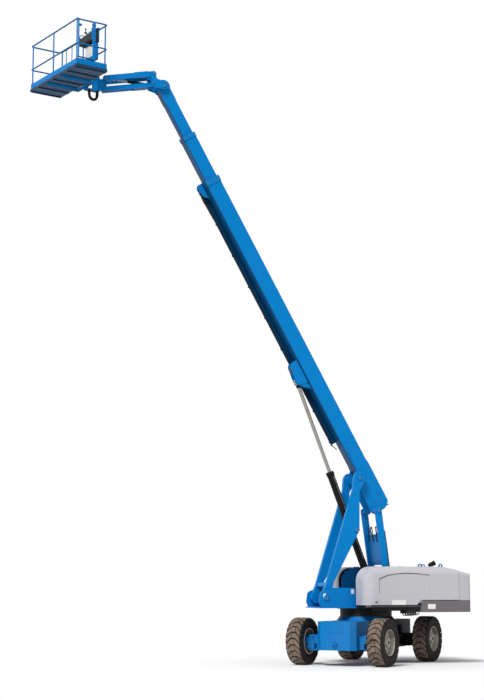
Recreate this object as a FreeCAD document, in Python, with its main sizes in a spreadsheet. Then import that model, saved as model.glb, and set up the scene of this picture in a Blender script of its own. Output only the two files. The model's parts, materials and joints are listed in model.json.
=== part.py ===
"""Telescopic boom lift with a two-link boom mount, a parallel-arm jib and a work platform.

Millimetres and degrees.  +Z is up, +X points along the boom towards the platform and +Y is the
left side of the turntable.  The origin is on the ground, on the turntable's slewing axis.
The chassis stands turned about that axis by chassis_yaw.
"""
import FreeCAD, Part
import math
import os
import re
import Sketcher

DIMENSIONS = {
    # chassis, in its own frame: x forward, y left
    "chassis_yaw": 44.3, "wheel_base": 2870, "wheel_track": 2100, "tyre_diameter": 1125,
    "tyre_width": 390, "rim_diameter": 620, "frame_front": 1850, "frame_rear": 1790,
    "frame_half_width": 505, "frame_bottom": 370, "frame_top": 1045, "ring_seat": 1140,
    "ring_radius": 640, "ring_bore": 430, "ring_top": 1345, "axle_depth": 330, "axle_width": 250,
    "kingpin_reach": 780, "kingpin_radius": 45, "steer_arm": 230, "tie_rod_radius": 22,
    "hub_radius": 150, "slip": 0.3, "pin_play": 0.05,
    # turntable
    "deck_thickness": 30, "channel_half": 510, "bulkhead_thickness": 25, "bulkhead_top": 2310,
    "ear_inner": 420, "ear_outer": 470, "hood_front": 500, "hood_rear": -1965, "tail_rear": -2300,
    "hood_top": 2350, "hood_low_front": 1420, "hood_low_rear": 1545, "hood_half_width": 1220,
    "hood_inner": 600, "hood_wall": 25, "hood_nose": 340, "hood_corner": 250,
    "hood_shoulder": 200, "hinge_y": 584, "hinge_z": 2347, "hinge_radius": 8,
    "exhaust_x": -1510, "exhaust_radius": 32, "ballast_bottom": 1250, "ballast_front": -950,
    "tail_corner": 80,
    # boom mount: front link, rear link, lift cylinder
    "link_foot_x": 1210, "link_foot_z": 1580, "link_length": 3100, "link_angle": 107.5,
    "link_inner": 290, "link_outer": 390, "link_depth": 180, "link_head": 150,
    "gusset_reach": 1860, "gusset_angle": 9, "gusset_rim": 72,
    "boom_angle": 61, "rear_foot_x": -440, "rear_foot_z": 1620, "rear_pin_back": 930,
    "rear_inner": 420, "rear_outer": 490, "rear_depth": 170,
    "barrel_radius": 90, "barrel_above": 1550, "barrel_below": 1150, "rod_radius": 45,
    "rod_length": 2690, "eye_radius": 70, "eye_half_width": 58, "lift_pin_ahead": 2830,
    "lift_pin_drop": 160, "main_pin_radius": 45,
    # boom sections, in the boom's frame: x along the boom from the main pin, z square to it
    "base_low": 65, "base_height": 400, "base_width": 380, "base_tail": -350, "base_head": 8330,
    "plate_tail": -1000, "plate_side": 20, "wall": 12, "mid_height": 345, "mid_width": 324,
    "mid_head": 9560, "mid_tail": 1500, "tip_height": 290, "tip_width": 268,
    "tip_tail": 2500, "tip_head": 10900, "head_radius": 175,
    # jib and its brackets
    "jib_length": 1222, "jib_angle": -10.8, "jib_pin_gap": 250, "jib_pin_ahead": 270,
    "jib_pin_up": 292, "upper_depth": 135, "lower_depth": 110, "upper_inner": 125,
    "upper_outer": 185, "lower_inner": 60, "lower_outer": 110, "cheek_inner": 200,
    "cheek_outer": 220, "jib_pin_radius": 25, "jib_barrel_radius": 40, "jib_barrel_length": 620,
    "jib_rod_radius": 20, "jib_rod_length": 700, "jib_eye_reach": 980,
    "rotator_ahead": 215, "rotator_radius": 95, "rotator_height": 330,
    # platform, in its own frame: x away from the boom, origin on the rotator's axis
    "platform_turn": 16.5, "platform_back": 340, "platform_depth": 860, "platform_width": 2455,
    "platform_low": 14045, "deck_height": 50, "rail_height": 1165, "mid_rail": 560,
    "toe_height": 190, "tube_radius": 19, "gate_width": 480, "bend_radius": 60,
    "hose_radius": 13,
}

doc = FreeCAD.newDocument("boom_lift")
sheet = doc.addObject("Spreadsheet::Sheet", "dims")
for row, (alias, number) in enumerate(DIMENSIONS.items(), start=1):
    sheet.set("A%d" % row, alias)
    sheet.set("B%d" % row, str(number))
    sheet.setAlias("B%d" % row, alias)
doc.recompute()

NODES = {}
# where the platform's hose turns, below the plate it hangs from
HOSE_ROUTE = [(190, 12, 0), (190, 12, -145), (120, 6, -215),
              (20, -6, -215), (-50, -12, -145), (-50, -12, 0)]
HINGE_PLACES = ("-1350", "-675", "0")
EYE_PLACES = {"left": ("-1245", "-1805"), "right": ("-800", "-1805")}
UP, ACROSS, ALONG = FreeCAD.Vector(0, 0, 1), FreeCAD.Vector(0, 1, 0), FreeCAD.Vector(1, 0, 0)
# plane role and the sign of its sketch normal along the row axis it faces
PLANES = {"side": ("XZ_Plane", -1), "plan": ("XY_Plane", 1), "front": ("YZ_Plane", 1)}


def bind(text):
    """Write an expression's dimension names the way the document refers to them."""
    return re.sub(r"[a-z_]+", lambda w: "dims." + w[0] if w[0] in DIMENSIONS else w[0], str(text))


def size(text):
    """The present value of an expression."""
    return float(sheet.evalExpression(bind(text)))


def node(name, thing):
    thing.Label = name
    NODES[name] = thing
    return thing


def set_place(thing, x="0", y="0", z="0", axis=ACROSS, turn=None):
    """Bind a thing's place, and its turn about an axis, to the sheet."""
    thing.Placement = FreeCAD.Placement(FreeCAD.Vector(), FreeCAD.Rotation(axis, 0))
    for key, text in (("x", x), ("y", y), ("z", z)):
        thing.setExpression("Placement.Base." + key, bind(text))
    if turn is not None:
        thing.Placement = FreeCAD.Placement(FreeCAD.Vector(), FreeCAD.Rotation(axis, 1))
        thing.setExpression("Placement.Rotation.Angle", bind(turn))
    return thing


def sketch_on(body, plane, level, name):
    role, sign = PLANES[plane]
    sketch = body.newObject("Sketcher::SketchObject", name)
    sketch.AttachmentSupport = (next(f for f in body.Origin.OriginFeatures if f.Role == role), [""])
    sketch.MapMode = "FlatFace"
    sketch.setExpression("AttachmentOffset.Base.z", bind("%d * (%s)" % (sign, level)))
    return sketch


def draw_loop(sketch, corners):
    """Draw a closed loop of straight lines whose corners are held to the sheet."""
    first, count = sketch.GeometryCount, len(corners)
    spots = [FreeCAD.Vector(size(c[0]), size(c[1]), 0) for c in corners]
    for i in range(count):
        sketch.addGeometry(Part.LineSegment(spots[i], spots[(i + 1) % count]), False)
    for i in range(count):
        sketch.addConstraint(Sketcher.Constraint("Coincident", first + i, 2, first + (i + 1) % count, 1))
    for i, corner in enumerate(corners):
        for kind, text, value in (("DistanceX", corner[0], spots[i].x),
            ("DistanceY", corner[1], spots[i].y)):
            index = sketch.addConstraint(Sketcher.Constraint(kind, -1, 1, first + i, 1, value))
            sketch.setExpression("Constraints[%d]" % index, bind(text))


def draw_circle(sketch, x, y, radius):
    circle = sketch.addGeometry(Part.Circle(FreeCAD.Vector(size(x), size(y), 0), UP, size(radius)), False)
    for kind, text in (("DistanceX", x), ("DistanceY", y)):
        index = sketch.addConstraint(Sketcher.Constraint(kind, -1, 1, circle, 3, size(text)))
        sketch.setExpression("Constraints[%d]" % index, bind(text))
    index = sketch.addConstraint(Sketcher.Constraint("Radius", circle, size(radius)))
    sketch.setExpression("Constraints[%d]" % index, bind(radius))


def round_edges(body, plane, corners, low, high):
    """Round the edges that stand on the corners which give a radius."""
    along = {"side": ACROSS, "plan": UP, "front": ALONG}[plane]
    groups = {}
    for corner in corners:
        if len(corner) > 2:
            groups.setdefault(corner[2], []).append(corner)
    for radius, members in groups.items():
        doc.recompute()
        base = body.Tip
        names = []
        for corner in members:
            spot = in_plane(plane, size(corner[0]), size(corner[1]), (size(low) + size(high)) / 2)
            for i, edge in enumerate(base.Shape.Edges, start=1):
                ends = [v.Point for v in edge.Vertexes]
                if len(ends) == 2 and abs((ends[1] - ends[0]).normalize().dot(along)) > 0.999:
                    if Part.Vertex(spot).distToShape(edge)[0] < 0.01:
                        names.append("Edge%d" % i)
        fillet = body.newObject("PartDesign::Fillet", "rounding")
        fillet.Base = (base, names)
        fillet.setExpression("Radius", bind(radius))
        body.Tip = fillet


def in_plane(plane, a, b, level):
    if plane == "side":
        return FreeCAD.Vector(a, level, b)
    if plane == "plan":
        return FreeCAD.Vector(a, b, level)
    return FreeCAD.Vector(level, a, b)


def slab(name, plane, corners, low, high, holes=(), windows=()):
    """A plate: an outline padded from one level to another, with round holes and windows.

    A corner is (a, b) or (a, b, rounding radius); a hole is (a, b, radius)."""
    body = doc.addObject("PartDesign::Body", name)
    near, far = (high, low) if plane == "side" else (low, high)
    sketch = sketch_on(body, plane, near, name + "_outline")
    draw_loop(sketch, corners)
    for hole in holes:
        draw_circle(sketch, *hole)
    for window in windows:
        draw_loop(sketch, window)
    pad = body.newObject("PartDesign::Pad", name + "_pad")
    pad.Profile = sketch
    pad.setExpression("Length", bind("(%s) - (%s)" % (high, low)))
    body.Tip = pad
    round_edges(body, plane, corners, low, high)
    return body


def box_outline(a0, b0, a1, b1, radius=None):
    corners = [(a0, b0), (a1, b0), (a1, b1), (a0, b1)]
    return [c + (radius,) for c in corners] if radius else corners


def cylinder(name, radius, low, high, direction="side", x="0", y="0", z="0"):
    """A round bar along Y ("side"), Z ("plan") or X ("front") between two levels."""
    bar = doc.addObject("Part::Cylinder", name)
    bar.setExpression("Radius", bind(radius))
    bar.setExpression("Height", bind("(%s) - (%s)" % (high, low)))
    if direction == "side":
        bar.Placement = FreeCAD.Placement(FreeCAD.Vector(), FreeCAD.Rotation(ALONG, -90))
        y = low
    elif direction == "front":
        bar.Placement = FreeCAD.Placement(FreeCAD.Vector(), FreeCAD.Rotation(ACROSS, 90))
        x = low
    else:
        z = low
    for key, text in (("x", x), ("y", y), ("z", z)):
        bar.setExpression("Placement.Base." + key, bind(text))
    return bar


def fuse(name, *pieces):
    joined = doc.addObject("Part::MultiFuse", name)
    joined.Shapes = list(pieces)
    joined.Refine = True
    return joined


def cut(name, base, *tools):
    result = base
    for tool in tools:
        step = doc.addObject("Part::Cut", name)
        step.Base, step.Tool = result, tool
        result = step
    return result


def common(name, *pieces):
    shared = doc.addObject("Part::MultiCommon", name)
    shared.Shapes = list(pieces)
    return shared


def mirrored(name, piece, normal=ACROSS):
    twin = doc.addObject("Part::Mirroring", name)
    twin.Source = piece
    twin.Normal = normal
    return twin


def on_chassis(name, piece, x="0", y="0", z="0"):
    """Place a piece of the chassis, turned with it about the slewing axis."""
    held = doc.addObject("Part::Compound", name)
    held.Links = [piece]
    turned = ("({0}) * cos(chassis_yaw) - ({1}) * sin(chassis_yaw)".format(x, y),
              "({0}) * sin(chassis_yaw) + ({1}) * cos(chassis_yaw)".format(x, y))
    set_place(held, turned[0], turned[1], z, UP, "chassis_yaw")
    return node(name, held)


# ---------------------------------------------------------------- chassis

def chassis_frame():
    """A welded box with chamfered corners, notched for the two axles, under a round ring seat."""
    half, chamfer = "frame_half_width", "120"
    body = slab("frame_box", "plan", [
        ("frame_front - %s" % chamfer, "-%s" % half), ("frame_front", "-%s + %s" % (half, chamfer)),
        ("frame_front", "%s - %s" % (half, chamfer)), ("frame_front - %s" % chamfer, half),
        ("-frame_rear + %s" % chamfer, half), ("-frame_rear", "%s - %s" % (half, chamfer)),
        ("-frame_rear", "-%s + %s" % (half, chamfer)), ("-frame_rear + %s" % chamfer, "-%s" % half),
    ], "frame_bottom", "frame_top")
    seat = doc.addObject("Part::Cone", "ring_pedestal")
    for key, text in (("Radius1", "ring_radius + 120"), ("Radius2", "ring_radius + 10"),
                      ("Height", "ring_seat - frame_top + 60"), ("Placement.Base.z", "frame_top - 60")):
        seat.setExpression(key, bind(text))
    notches = [slab("axle_notch", "side", box_outline(
        "%s * wheel_base / 2 - axle_width / 2 - slip" % sign, "frame_bottom - 10",
        "%s * wheel_base / 2 + axle_width / 2 + slip" % sign, "frame_bottom + axle_depth + slip"),
        "-frame_half_width - 10", "frame_half_width + 10") for sign in ("1", "-1")]
    notches.append(slab("tie_rod_notch", "side", box_outline(
        "wheel_base / 2 - axle_width / 2 - 190", "frame_bottom - 10", "wheel_base / 2",
        "frame_bottom + 150"),
        "-frame_half_width - 10", "frame_half_width + 10"))
    lugs = [slab("tie_down", "plan", [
        (foot, "-70"), (tip, "-45", "40"), (tip, "45", "40"), (foot, "70")],
        "frame_bottom + 135", "frame_bottom + 165", holes=[("(%s + %s) / 2" % (foot, tip), "0", "30")])
        for foot, tip in (("(frame_front - 5)", "(frame_front + 95)"),
                          ("(5 - frame_rear)", "(-95 - frame_rear)"))]
    swivel_well = cylinder("swivel_well", "ring_bore - 130", "ring_seat - 400", "ring_seat + 10", "plan")
    whole = fuse("frame_fuse", body, seat, *lugs)
    return on_chassis("chassis_frame", cut("frame_cut", whole, *notches, swivel_well))


def axle_beam(name, sign, with_knuckles):
    """A box beam across the chassis; a steered one ends in forks for its kingpins."""
    centre, half = "%s * wheel_base / 2" % sign, "axle_width / 2"
    end = "kingpin_reach - 160" if with_knuckles else "wheel_track / 2 - tyre_width / 2 - 25"
    shoulder = "kingpin_reach - 90" if with_knuckles else end
    low, step, high = "frame_bottom + 20", "frame_bottom + 150", "frame_bottom + axle_depth"
    beam = slab(name + "_beam", "front", [
        ("-(%s)" % end, low), (end, low), (end, step), (shoulder, step), (shoulder, high),
        ("-(%s)" % shoulder, high), ("-(%s)" % shoulder, step), ("-(%s)" % end, step)]
        if with_knuckles else [("-(%s)" % end, low), (end, low), (end, high), ("-(%s)" % end, high)],
        "(%s) - %s" % (centre, half), "(%s) + %s" % (centre, half))
    pieces = [beam]
    if with_knuckles:
        for side in ("1", "-1"):
            for low, high in (("frame_bottom - 20", "frame_bottom + 20"),
                              ("frame_bottom + axle_depth - 20", "frame_bottom + axle_depth + 20")):
                inner, outer = "%s * (kingpin_reach - 200)" % side, "%s * (kingpin_reach + 75)" % side
                arm = slab(name + "_fork", "plan", [
                    ("(%s) - 80" % centre, inner), ("(%s) + 80" % centre, inner),
                    ("(%s) + 80" % centre, outer, "60"), ("(%s) - 80" % centre, outer, "60")]
                    if side == "1" else [
                    ("(%s) + 80" % centre, inner), ("(%s) - 80" % centre, inner),
                    ("(%s) - 80" % centre, outer, "60"), ("(%s) + 80" % centre, outer, "60")],
                    low, high, holes=[(centre, "%s * kingpin_reach" % side, "kingpin_radius + pin_play")])
                pieces.append(arm)
    else:
        bulge = doc.addObject("Part::Sphere", "differential")
        bulge.setExpression("Radius", bind("axle_depth / 2 + 60"))
        bulge.setExpression("Placement.Base.x", bind(centre))
        bulge.setExpression("Placement.Base.z", bind("frame_bottom + axle_depth / 2 + 10"))
        trim = slab("bulge_trim", "plan", box_outline("(%s) - 400" % centre, "-400",
            "(%s) + 400" % centre, "400"),
                    "frame_bottom - 200", "frame_bottom - slip")
        lower = doc.addObject("Part::Common", "differential_low")
        lower.Base, lower.Tool = bulge, trim
        spout = [cylinder("hub_spout", "hub_radius - 30", low, high, "side", centre,
            z="tyre_diameter / 2")
                 for low, high in (("wheel_track / 2 - tyre_width / 2 - 80", "wheel_track / 2 - 60"),
                                   ("-wheel_track / 2 + 60", "-wheel_track / 2 + tyre_width / 2 + 80"))]
        pieces += spout
    return on_chassis(name, fuse(name + "_fuse", *pieces))


def knuckle(name, side):
    """A steering knuckle: kingpin, upright block, hub spout into the wheel, arm to the tie rod."""
    low, high = "frame_bottom + 20 + 5", "frame_bottom + axle_depth - 20 - 5"
    upright = cylinder(name + "_upright", "75", low, high, "plan", "0", "0")
    pin = cylinder(name + "_pin", "kingpin_radius", "frame_bottom - 25",
        "frame_bottom + axle_depth + 25", "plan")
    inner, outer = "wheel_track / 2 - 60 - kingpin_reach", "20"
    spout = cylinder(name + "_spout", "hub_radius - 30", "-(%s)" % inner if side < 0 else "90",
                     "-90" if side < 0 else inner, "side", z="tyre_diameter / 2")
    web = slab(name + "_web", "side", box_outline("-70", low, "70", high), "0" if side > 0 else "-101",
               "101" if side > 0 else "0")
    plate = slab(name + "_plate", "side", box_outline("-95", "frame_bottom + 30", "95",
        "tyre_diameter / 2 + 95", "30"),
                 "100" if side > 0 else "-130", "130" if side > 0 else "-100")
    arm = slab(name + "_arm", "plan", [
        ("-20", "-35"), ("-20", "35"), ("-steer_arm", "30", "28"), ("-steer_arm - 35", "30", "28"),
        ("-steer_arm - 35", "-30", "28"), ("-steer_arm", "-30", "28")],
        "frame_bottom + 95", "frame_bottom + 125", holes=[("-steer_arm", "0",
            "tie_rod_radius * 0.7 + pin_play")])
    piece = fuse(name + "_fuse", upright, pin, spout, web, plate, arm)
    return on_chassis(name, piece, "wheel_base / 2", "%d * kingpin_reach" % side)


def tie_rod():
    """A round bar between the two steering arms, with an eye block and a pin at each end."""
    z0, z1 = "frame_bottom + 95", "frame_bottom + 125"
    bar = cylinder("tie_bar", "tie_rod_radius", "-kingpin_reach", "kingpin_reach", "side",
        z="frame_bottom + 75 - tie_rod_radius")
    ends = []
    for side in ("1", "-1"):
        spot = "%s * kingpin_reach" % side
        ends.append(cylinder("tie_eye", "tie_rod_radius + 14", "frame_bottom + 30",
            "frame_bottom + 94.7", "plan", y=spot))
        ends.append(cylinder("tie_pin", "tie_rod_radius * 0.7", "frame_bottom + 80",
            "frame_bottom + 135", "plan", y=spot))
    return on_chassis("tie_rod", fuse("tie_fuse", bar, *ends), "wheel_base / 2 - steer_arm")


def revolved(name, corners):
    """A ring about the Y axis, from an outline of (y, radius) corners."""
    body = doc.addObject("PartDesign::Body", name)
    sketch = sketch_on(body, "front", "0", name + "_section")
    draw_loop(sketch, corners)
    turn = body.newObject("PartDesign::Revolution", name + "_turn")
    turn.Profile = sketch
    turn.ReferenceAxis = (sketch, ["H_Axis"])
    turn.Angle = 360
    body.Tip = turn
    return body


def tyre_ring():
    half, outer, seat = "tyre_width / 2", "tyre_diameter / 2", "rim_diameter / 2"
    return revolved("tyre_ring", [
        ("-%s + 25" % half, "%s + slip" % seat), ("%s - 25" % half, "%s + slip" % seat),
        (half, "%s + 45" % seat), ("%s + 0" % half, "%s - 75" % outer),
        ("%s - 30" % half, "%s - 12" % outer),
        ("%s - 90" % half, outer), ("-%s + 90" % half, outer), ("-%s + 30" % half, "%s - 12" % outer),
        ("-%s - 0" % half, "%s - 75" % outer), ("-%s" % half, "%s + 45" % seat)])


def rim_disc():
    """A rim barrel with a dished disc and a hub; its outer face looks along +Y."""
    half, seat = "tyre_width / 2", "rim_diameter / 2"
    barrel = revolved("rim_barrel", [
        ("-%s + 10" % half, seat), ("-%s + 10" % half, "%s - 22" % seat), ("30", "%s - 22" % seat),
        ("60", "hub_radius + 40"), ("55", "hub_radius"), ("75", "hub_radius"),
        ("82", "hub_radius + 45"), ("52", "%s - 10" % seat), ("%s - 10" % half, "%s - 12" % seat),
        ("%s - 10" % half, seat)])
    hub = revolved("wheel_hub", [
        ("-60 + slip", "0"), ("-60 + slip", "hub_radius - 30"), ("40", "hub_radius - 10"),
        ("40", "hub_radius + 10"),
        ("75.5", "hub_radius + 10"), ("75.5", "hub_radius - 25"), ("150", "hub_radius - 60"),
        ("150", "0")])
    return fuse("rim_fuse", barrel, hub)


def wheels():
    tyre, rim = tyre_ring(), rim_disc()
    twin = mirrored("rim_mirrored", rim)
    for end, x in (("front", "wheel_base / 2"), ("rear", "-wheel_base / 2")):
        for side, y, disc in (("left", "wheel_track / 2", rim), ("right", "-wheel_track / 2", twin)):
            on_chassis("tyre_%s_%s" % (end, side), tyre, x, y, "tyre_diameter / 2")
            on_chassis("rim_%s_%s" % (end, side), disc, x, y, "tyre_diameter / 2")


def slew_ring():
    outer = cylinder("ring_outer", "ring_radius", "ring_seat", "ring_top - slip", "plan")
    bore = cylinder("ring_inner", "ring_bore", "ring_seat - 10", "ring_top + 10", "plan")
    return node("slew_ring", cut("ring_cut", outer, bore))


# ---------------------------------------------------------------- turntable

def turntable_frame():
    """A deck plate with two upright ears that carry the front link's foot."""
    deck_top = "ring_top + deck_thickness"
    deck = slab("turntable_deck", "plan", [
        ("link_foot_x + 190", "-ear_outer - 30"), ("link_foot_x + 190", "ear_outer + 30"),
        ("hood_front - 60", "channel_half + bulkhead_thickness"),
        ("ballast_front - 850", "channel_half + bulkhead_thickness"),
        ("ballast_front - 850", "-channel_half - bulkhead_thickness"),
        ("hood_front - 60", "-channel_half - bulkhead_thickness")],
        "ring_top", deck_top, windows=[box_outline(
            "rear_foot_x - 430", "%s * rear_inner - %s * 15" % (way, way),
            "rear_foot_x + 140", "%s * rear_outer + %s * 12" % (way, way)) for way in ("1", "-1")])
    ear = slab("link_ear", "side", [
        ("hood_front - 40", deck_top), ("link_foot_x + 150", deck_top),
        ("link_foot_x + 200", "link_foot_z - 80"),
        ("link_foot_x + 160", "link_foot_z + 150", "90"),
        ("link_foot_x - 120", "link_foot_z + 260", "120"),
        ("hood_front - 40", "link_foot_z + 250")], "ear_inner", "ear_outer")
    pin = cylinder("foot_pin", "main_pin_radius", "link_inner - 10", "ear_outer + 15", "side",
        "link_foot_x", z="link_foot_z")
    boss = cylinder("foot_boss", "85", "link_outer + slip", "ear_outer + 8", "side", "link_foot_x",
        z="link_foot_z")
    return node("turntable_frame", fuse("turntable_fuse", deck, ear, pin, boss,
                mirrored("ear_twin", ear), mirrored("pin_twin", pin), mirrored("boss_twin", boss)))


def bulkhead(eye_places):
    """The inner wall of a hood bay, with the rear link's stub and two lifting eyes on its edge."""
    deck_top = "ring_top + deck_thickness"
    wall = slab("bay_wall", "side", [
        ("hood_front - 60", deck_top), ("hood_front - 60", "bulkhead_top", "320"),
        ("tail_rear + 300", "bulkhead_top", "120"), ("tail_rear + 300", "ballast_bottom + 400"),
        ("ballast_front - 850", "ballast_bottom + 400"), ("ballast_front - 850", deck_top)],
        "channel_half", "channel_half + bulkhead_thickness")
    cap = slab("bay_cap", "plan", box_outline(
        "tail_rear + 450", "channel_half", "hood_front - 400", "hood_inner - 5"),
        "bulkhead_top - 8", "bulkhead_top + 10")
    stub = cylinder("rear_stub", "75", "rear_outer + 8", "channel_half + 5", "side", "rear_foot_x",
        z="rear_foot_z")
    lugs = [slab("lifting_eye", "side", [
        ("%s - 70" % x, "bulkhead_top - 20"), ("%s + 70" % x, "bulkhead_top - 20"),
        ("%s + 45" % x, "bulkhead_top + 115", "40"), ("%s - 45" % x, "bulkhead_top + 115", "40")],
        "channel_half + 2", "channel_half + 22", holes=[(x, "bulkhead_top + 70", "25")])
        for x in eye_places]
    pins = []
    for x in HINGE_PLACES:
        pins.append(cylinder("hinge_pin", "hinge_radius", "%s - 70" % x, "%s + 70" % x, "front",
            y="hinge_y", z="hinge_z"))
        pins += [slab("hinge_post", "front", box_outline("hinge_y - 8", "bulkhead_top + 5",
            "hinge_y + 8", "hinge_z + 8"),
                      "%s + %s" % (x, a), "%s + %s" % (x, b)) for a, b in (("-66", "-46"), ("46", "66"))]
    return fuse("bulkhead_fuse", wall, cap, stub, *lugs, *pins)


def bay_tray():
    """The shelf under a hood, with a turned-down lip on its outer edge."""
    deck_top = "ring_top + deck_thickness"
    shelf = slab("tray_shelf", "plan", [
        ("hood_front - 30", "channel_half + bulkhead_thickness"),
        ("hood_front - 30", "hood_half_width - 60", "150"),
        ("ballast_front + 3", "hood_half_width - 60"), ("ballast_front + 3",
            "channel_half + bulkhead_thickness")],
        "ring_top + 5", deck_top)
    lip = slab("tray_lip", "side", box_outline("ballast_front + 3", "ring_top - 45", "hood_front - 200",
        deck_top),
               "hood_half_width - 70", "hood_half_width - 60")
    return fuse("tray_fuse", shelf, lip)


def counterweight():
    """One cast block round the tail: low under the boom, tall at both corners, a wing under each hood."""
    low, top = "ballast_bottom", "ballast_bottom + 395"
    side, mid = "(hood_half_width - 15)", "(channel_half + bulkhead_thickness + slip)"
    wall_end = "(tail_rear + 300 - slip)"
    middle = slab("ballast_middle", "plan", box_outline(
        wall_end, "-channel_half + slip", "ballast_front - 850 - slip", "channel_half - slip"), low, top)
    back = slab("ballast_back", "plan", [
        (wall_end, "-" + side), (wall_end, side), ("tail_rear", side, "tail_corner"),
        ("tail_rear", "-" + side, "tail_corner")], low, top)
    wing = slab("ballast_wing", "plan", [
        ("ballast_front", mid), ("ballast_front", side, "60"),
        (wall_end + " - 5", side), (wall_end + " - 5", mid)], low, "hood_low_rear - 8")
    tower = tail_tower(side, mid)
    return node("counterweight", fuse("ballast_fuse", middle, back, wing, tower,
                                      mirrored("wing_twin", wing), mirrored("tower_twin", tower)))


def tail_tower(side, mid):
    """A tall corner of the counterweight that carries on the hood's sloping top and rounded shoulder."""
    front, foot = "hood_rear - 8", "ballast_bottom + 200"
    plan = slab("tower_plan", "plan", [
        (front, mid), (front, side), ("tail_rear", side, "tail_corner"), ("tail_rear", mid)],
        foot, "hood_top")
    profile = slab("tower_profile", "side", [
        (front, foot), (front, "hood_top - 94"), ("tail_rear", "hood_top - 185", "90"),
        ("tail_rear", foot)], mid, side)
    shoulder = slab("tower_shoulder", "front", [
        (mid, foot), (side, foot), (side, "hood_top - 92", "hood_shoulder - 60"),
        (mid, "hood_top - 92")], "tail_rear", front)
    return common("ballast_tower", plan, profile, shoulder)


def hood_block(name, inset):
    """The cover's envelope, rounded at its nose, its outer front corner and its outer shoulder."""
    low_front = "hood_low_front" if inset == "0" else "hood_low_front - 50"
    low_rear = "hood_low_rear" if inset == "0" else low_front
    inboard = "hood_inner" if inset == "0" else "hood_inner - 10"
    front, rear, top = "hood_front - " + inset, "hood_rear + " + inset, "hood_top - " + inset
    outboard = "hood_half_width - " + inset
    profile = slab(name + "_profile", "side", [
        (front, low_front), (front, top, "hood_nose - " + inset), ("hood_rear + 380", top, "600"),
        (rear, "hood_top - 90 - " + inset), (rear, low_rear),
        ("ballast_front + 10", low_rear), ("ballast_front + 110", low_front)], inboard, outboard)
    plan = slab(name + "_plan", "plan", [
        (rear, inboard), (front, inboard), (front, outboard, "hood_corner - " + inset),
        (rear, outboard)], low_front, top)
    shoulder = slab(name + "_shoulder", "front", [
        (inboard, low_front), (outboard, low_front), (outboard, top, "hood_shoulder - " + inset),
        (inboard, top)], rear, front)
    return common(name, profile, plan, shoulder)


def hood_cover():
    """A pressed cover, open below and inboard, with a pressed-in panel on its outer side."""
    panel = slab("hood_panel", "side", [
        ("140", "1670", "25"), ("140", "2060", "25"), ("-90", "2150", "250"), ("-600", "2200", "600"),
        ("-1190", "2150", "25"), ("-1190", "1670", "25")],
        "hood_half_width - 12", "hood_half_width + 10")
    shell = cut("hood_cut", hood_block("hood_outer", "0"), hood_block("hood_inner_space", "hood_wall"),
        panel)
    knuckles = []
    for x in HINGE_PLACES:
        ring = cylinder("hinge_ring", "hinge_radius + 7", "%s - 40" % x, "%s + 40" % x,
                        "front", y="hinge_y", z="hinge_z")
        leaf = slab("hinge_leaf", "plan", box_outline(
            "%s - 40" % x, "hinge_y", "%s + 40" % x, "hood_inner + 70"), "hood_top - 1", "hood_top + 7")
        hole = cylinder("hinge_hole", "hinge_radius + pin_play", "%s - 45" % x, "%s + 45" % x,
                        "front", y="hinge_y", z="hinge_z")
        knuckles.append(cut("hinge_knuckle", fuse("hinge_fuse", ring, leaf), hole))
    return fuse("hood_whole", shell, *knuckles)


def turntable():
    frame = turntable_frame()
    tray, hood = bay_tray(), hood_cover()
    node("bulkhead_left", bulkhead(EYE_PLACES["left"]))
    node("bulkhead_right", mirrored("bulkhead_mirror", bulkhead(EYE_PLACES["right"])))
    node("tray_left", tray)
    node("tray_right", mirrored("tray_mirror", tray))
    node("hood_left", hood)
    node("hood_right", mirrored("hood_mirror", hood))
    counterweight()
    deck_top = "ring_top + deck_thickness"
    node("engine_block", slab("engine", "plan", box_outline("-800", "620", "250", "1080", "40"),
        deck_top, "2080"))
    node("fuel_tank", slab("fuel", "plan", box_outline("-850", "-1120", "-150", "-640", "60"), deck_top,
        "1950"))
    node("hydraulic_tank", slab("hydraulic", "plan", box_outline("-100", "-1100", "400", "-660", "50"),
        deck_top, "2000"))
    node("exhaust_pipe", exhaust_elbow())
    return frame


def exhaust_elbow():
    """A short elbow on the left cap strip, its mouth turned up and to the tail."""
    centre, foot, bend = "channel_half + 42", "bulkhead_top + 10 + slip", "(exhaust_radius + 16)"
    stack = cylinder("exhaust_stack", "exhaust_radius", foot, "bulkhead_top + 50", "plan",
                     "exhaust_x", centre)
    curve = doc.addObject("Part::Torus", "exhaust_bend")
    for key, text in (("Radius1", bend), ("Radius2", "exhaust_radius")):
        curve.setExpression(key, bind(text))
    curve.Angle3 = 45
    curve.Placement = FreeCAD.Placement(FreeCAD.Vector(), FreeCAD.Rotation(ALONG, 90))
    for key, text in (("x", "exhaust_x - " + bend), ("y", centre), ("z", "bulkhead_top + 50")):
        curve.setExpression("Placement.Base." + key, bind(text))
    mouth_x = "exhaust_x - %s * (1 - cos(45))" % bend
    mouth_z = "bulkhead_top + 50 + %s * sin(45)" % bend
    mouth = mouth_tube("exhaust_mouth", "exhaust_radius", "0", mouth_x, centre, mouth_z)
    bore = mouth_tube("exhaust_bore", "exhaust_radius - 4", "10", mouth_x, centre, mouth_z)
    return cut("exhaust_cut", fuse("exhaust_fuse", stack, curve, mouth), bore)


def mouth_tube(name, radius, start, x, y, z):
    """A round bar that leaves (x, y, z) half way between up and the tail, from start on to 70."""
    bar = doc.addObject("Part::Cylinder", name)
    bar.setExpression("Radius", bind(radius))
    bar.setExpression("Height", bind("70 - %s + %s * 2" % (start, start)))
    return set_place(bar, "%s - %s * sin(45)" % (x, start), y, "%s + %s * cos(45)" % (z, start),
                     ACROSS, "-45")


# ---------------------------------------------------------------- boom mount

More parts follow.
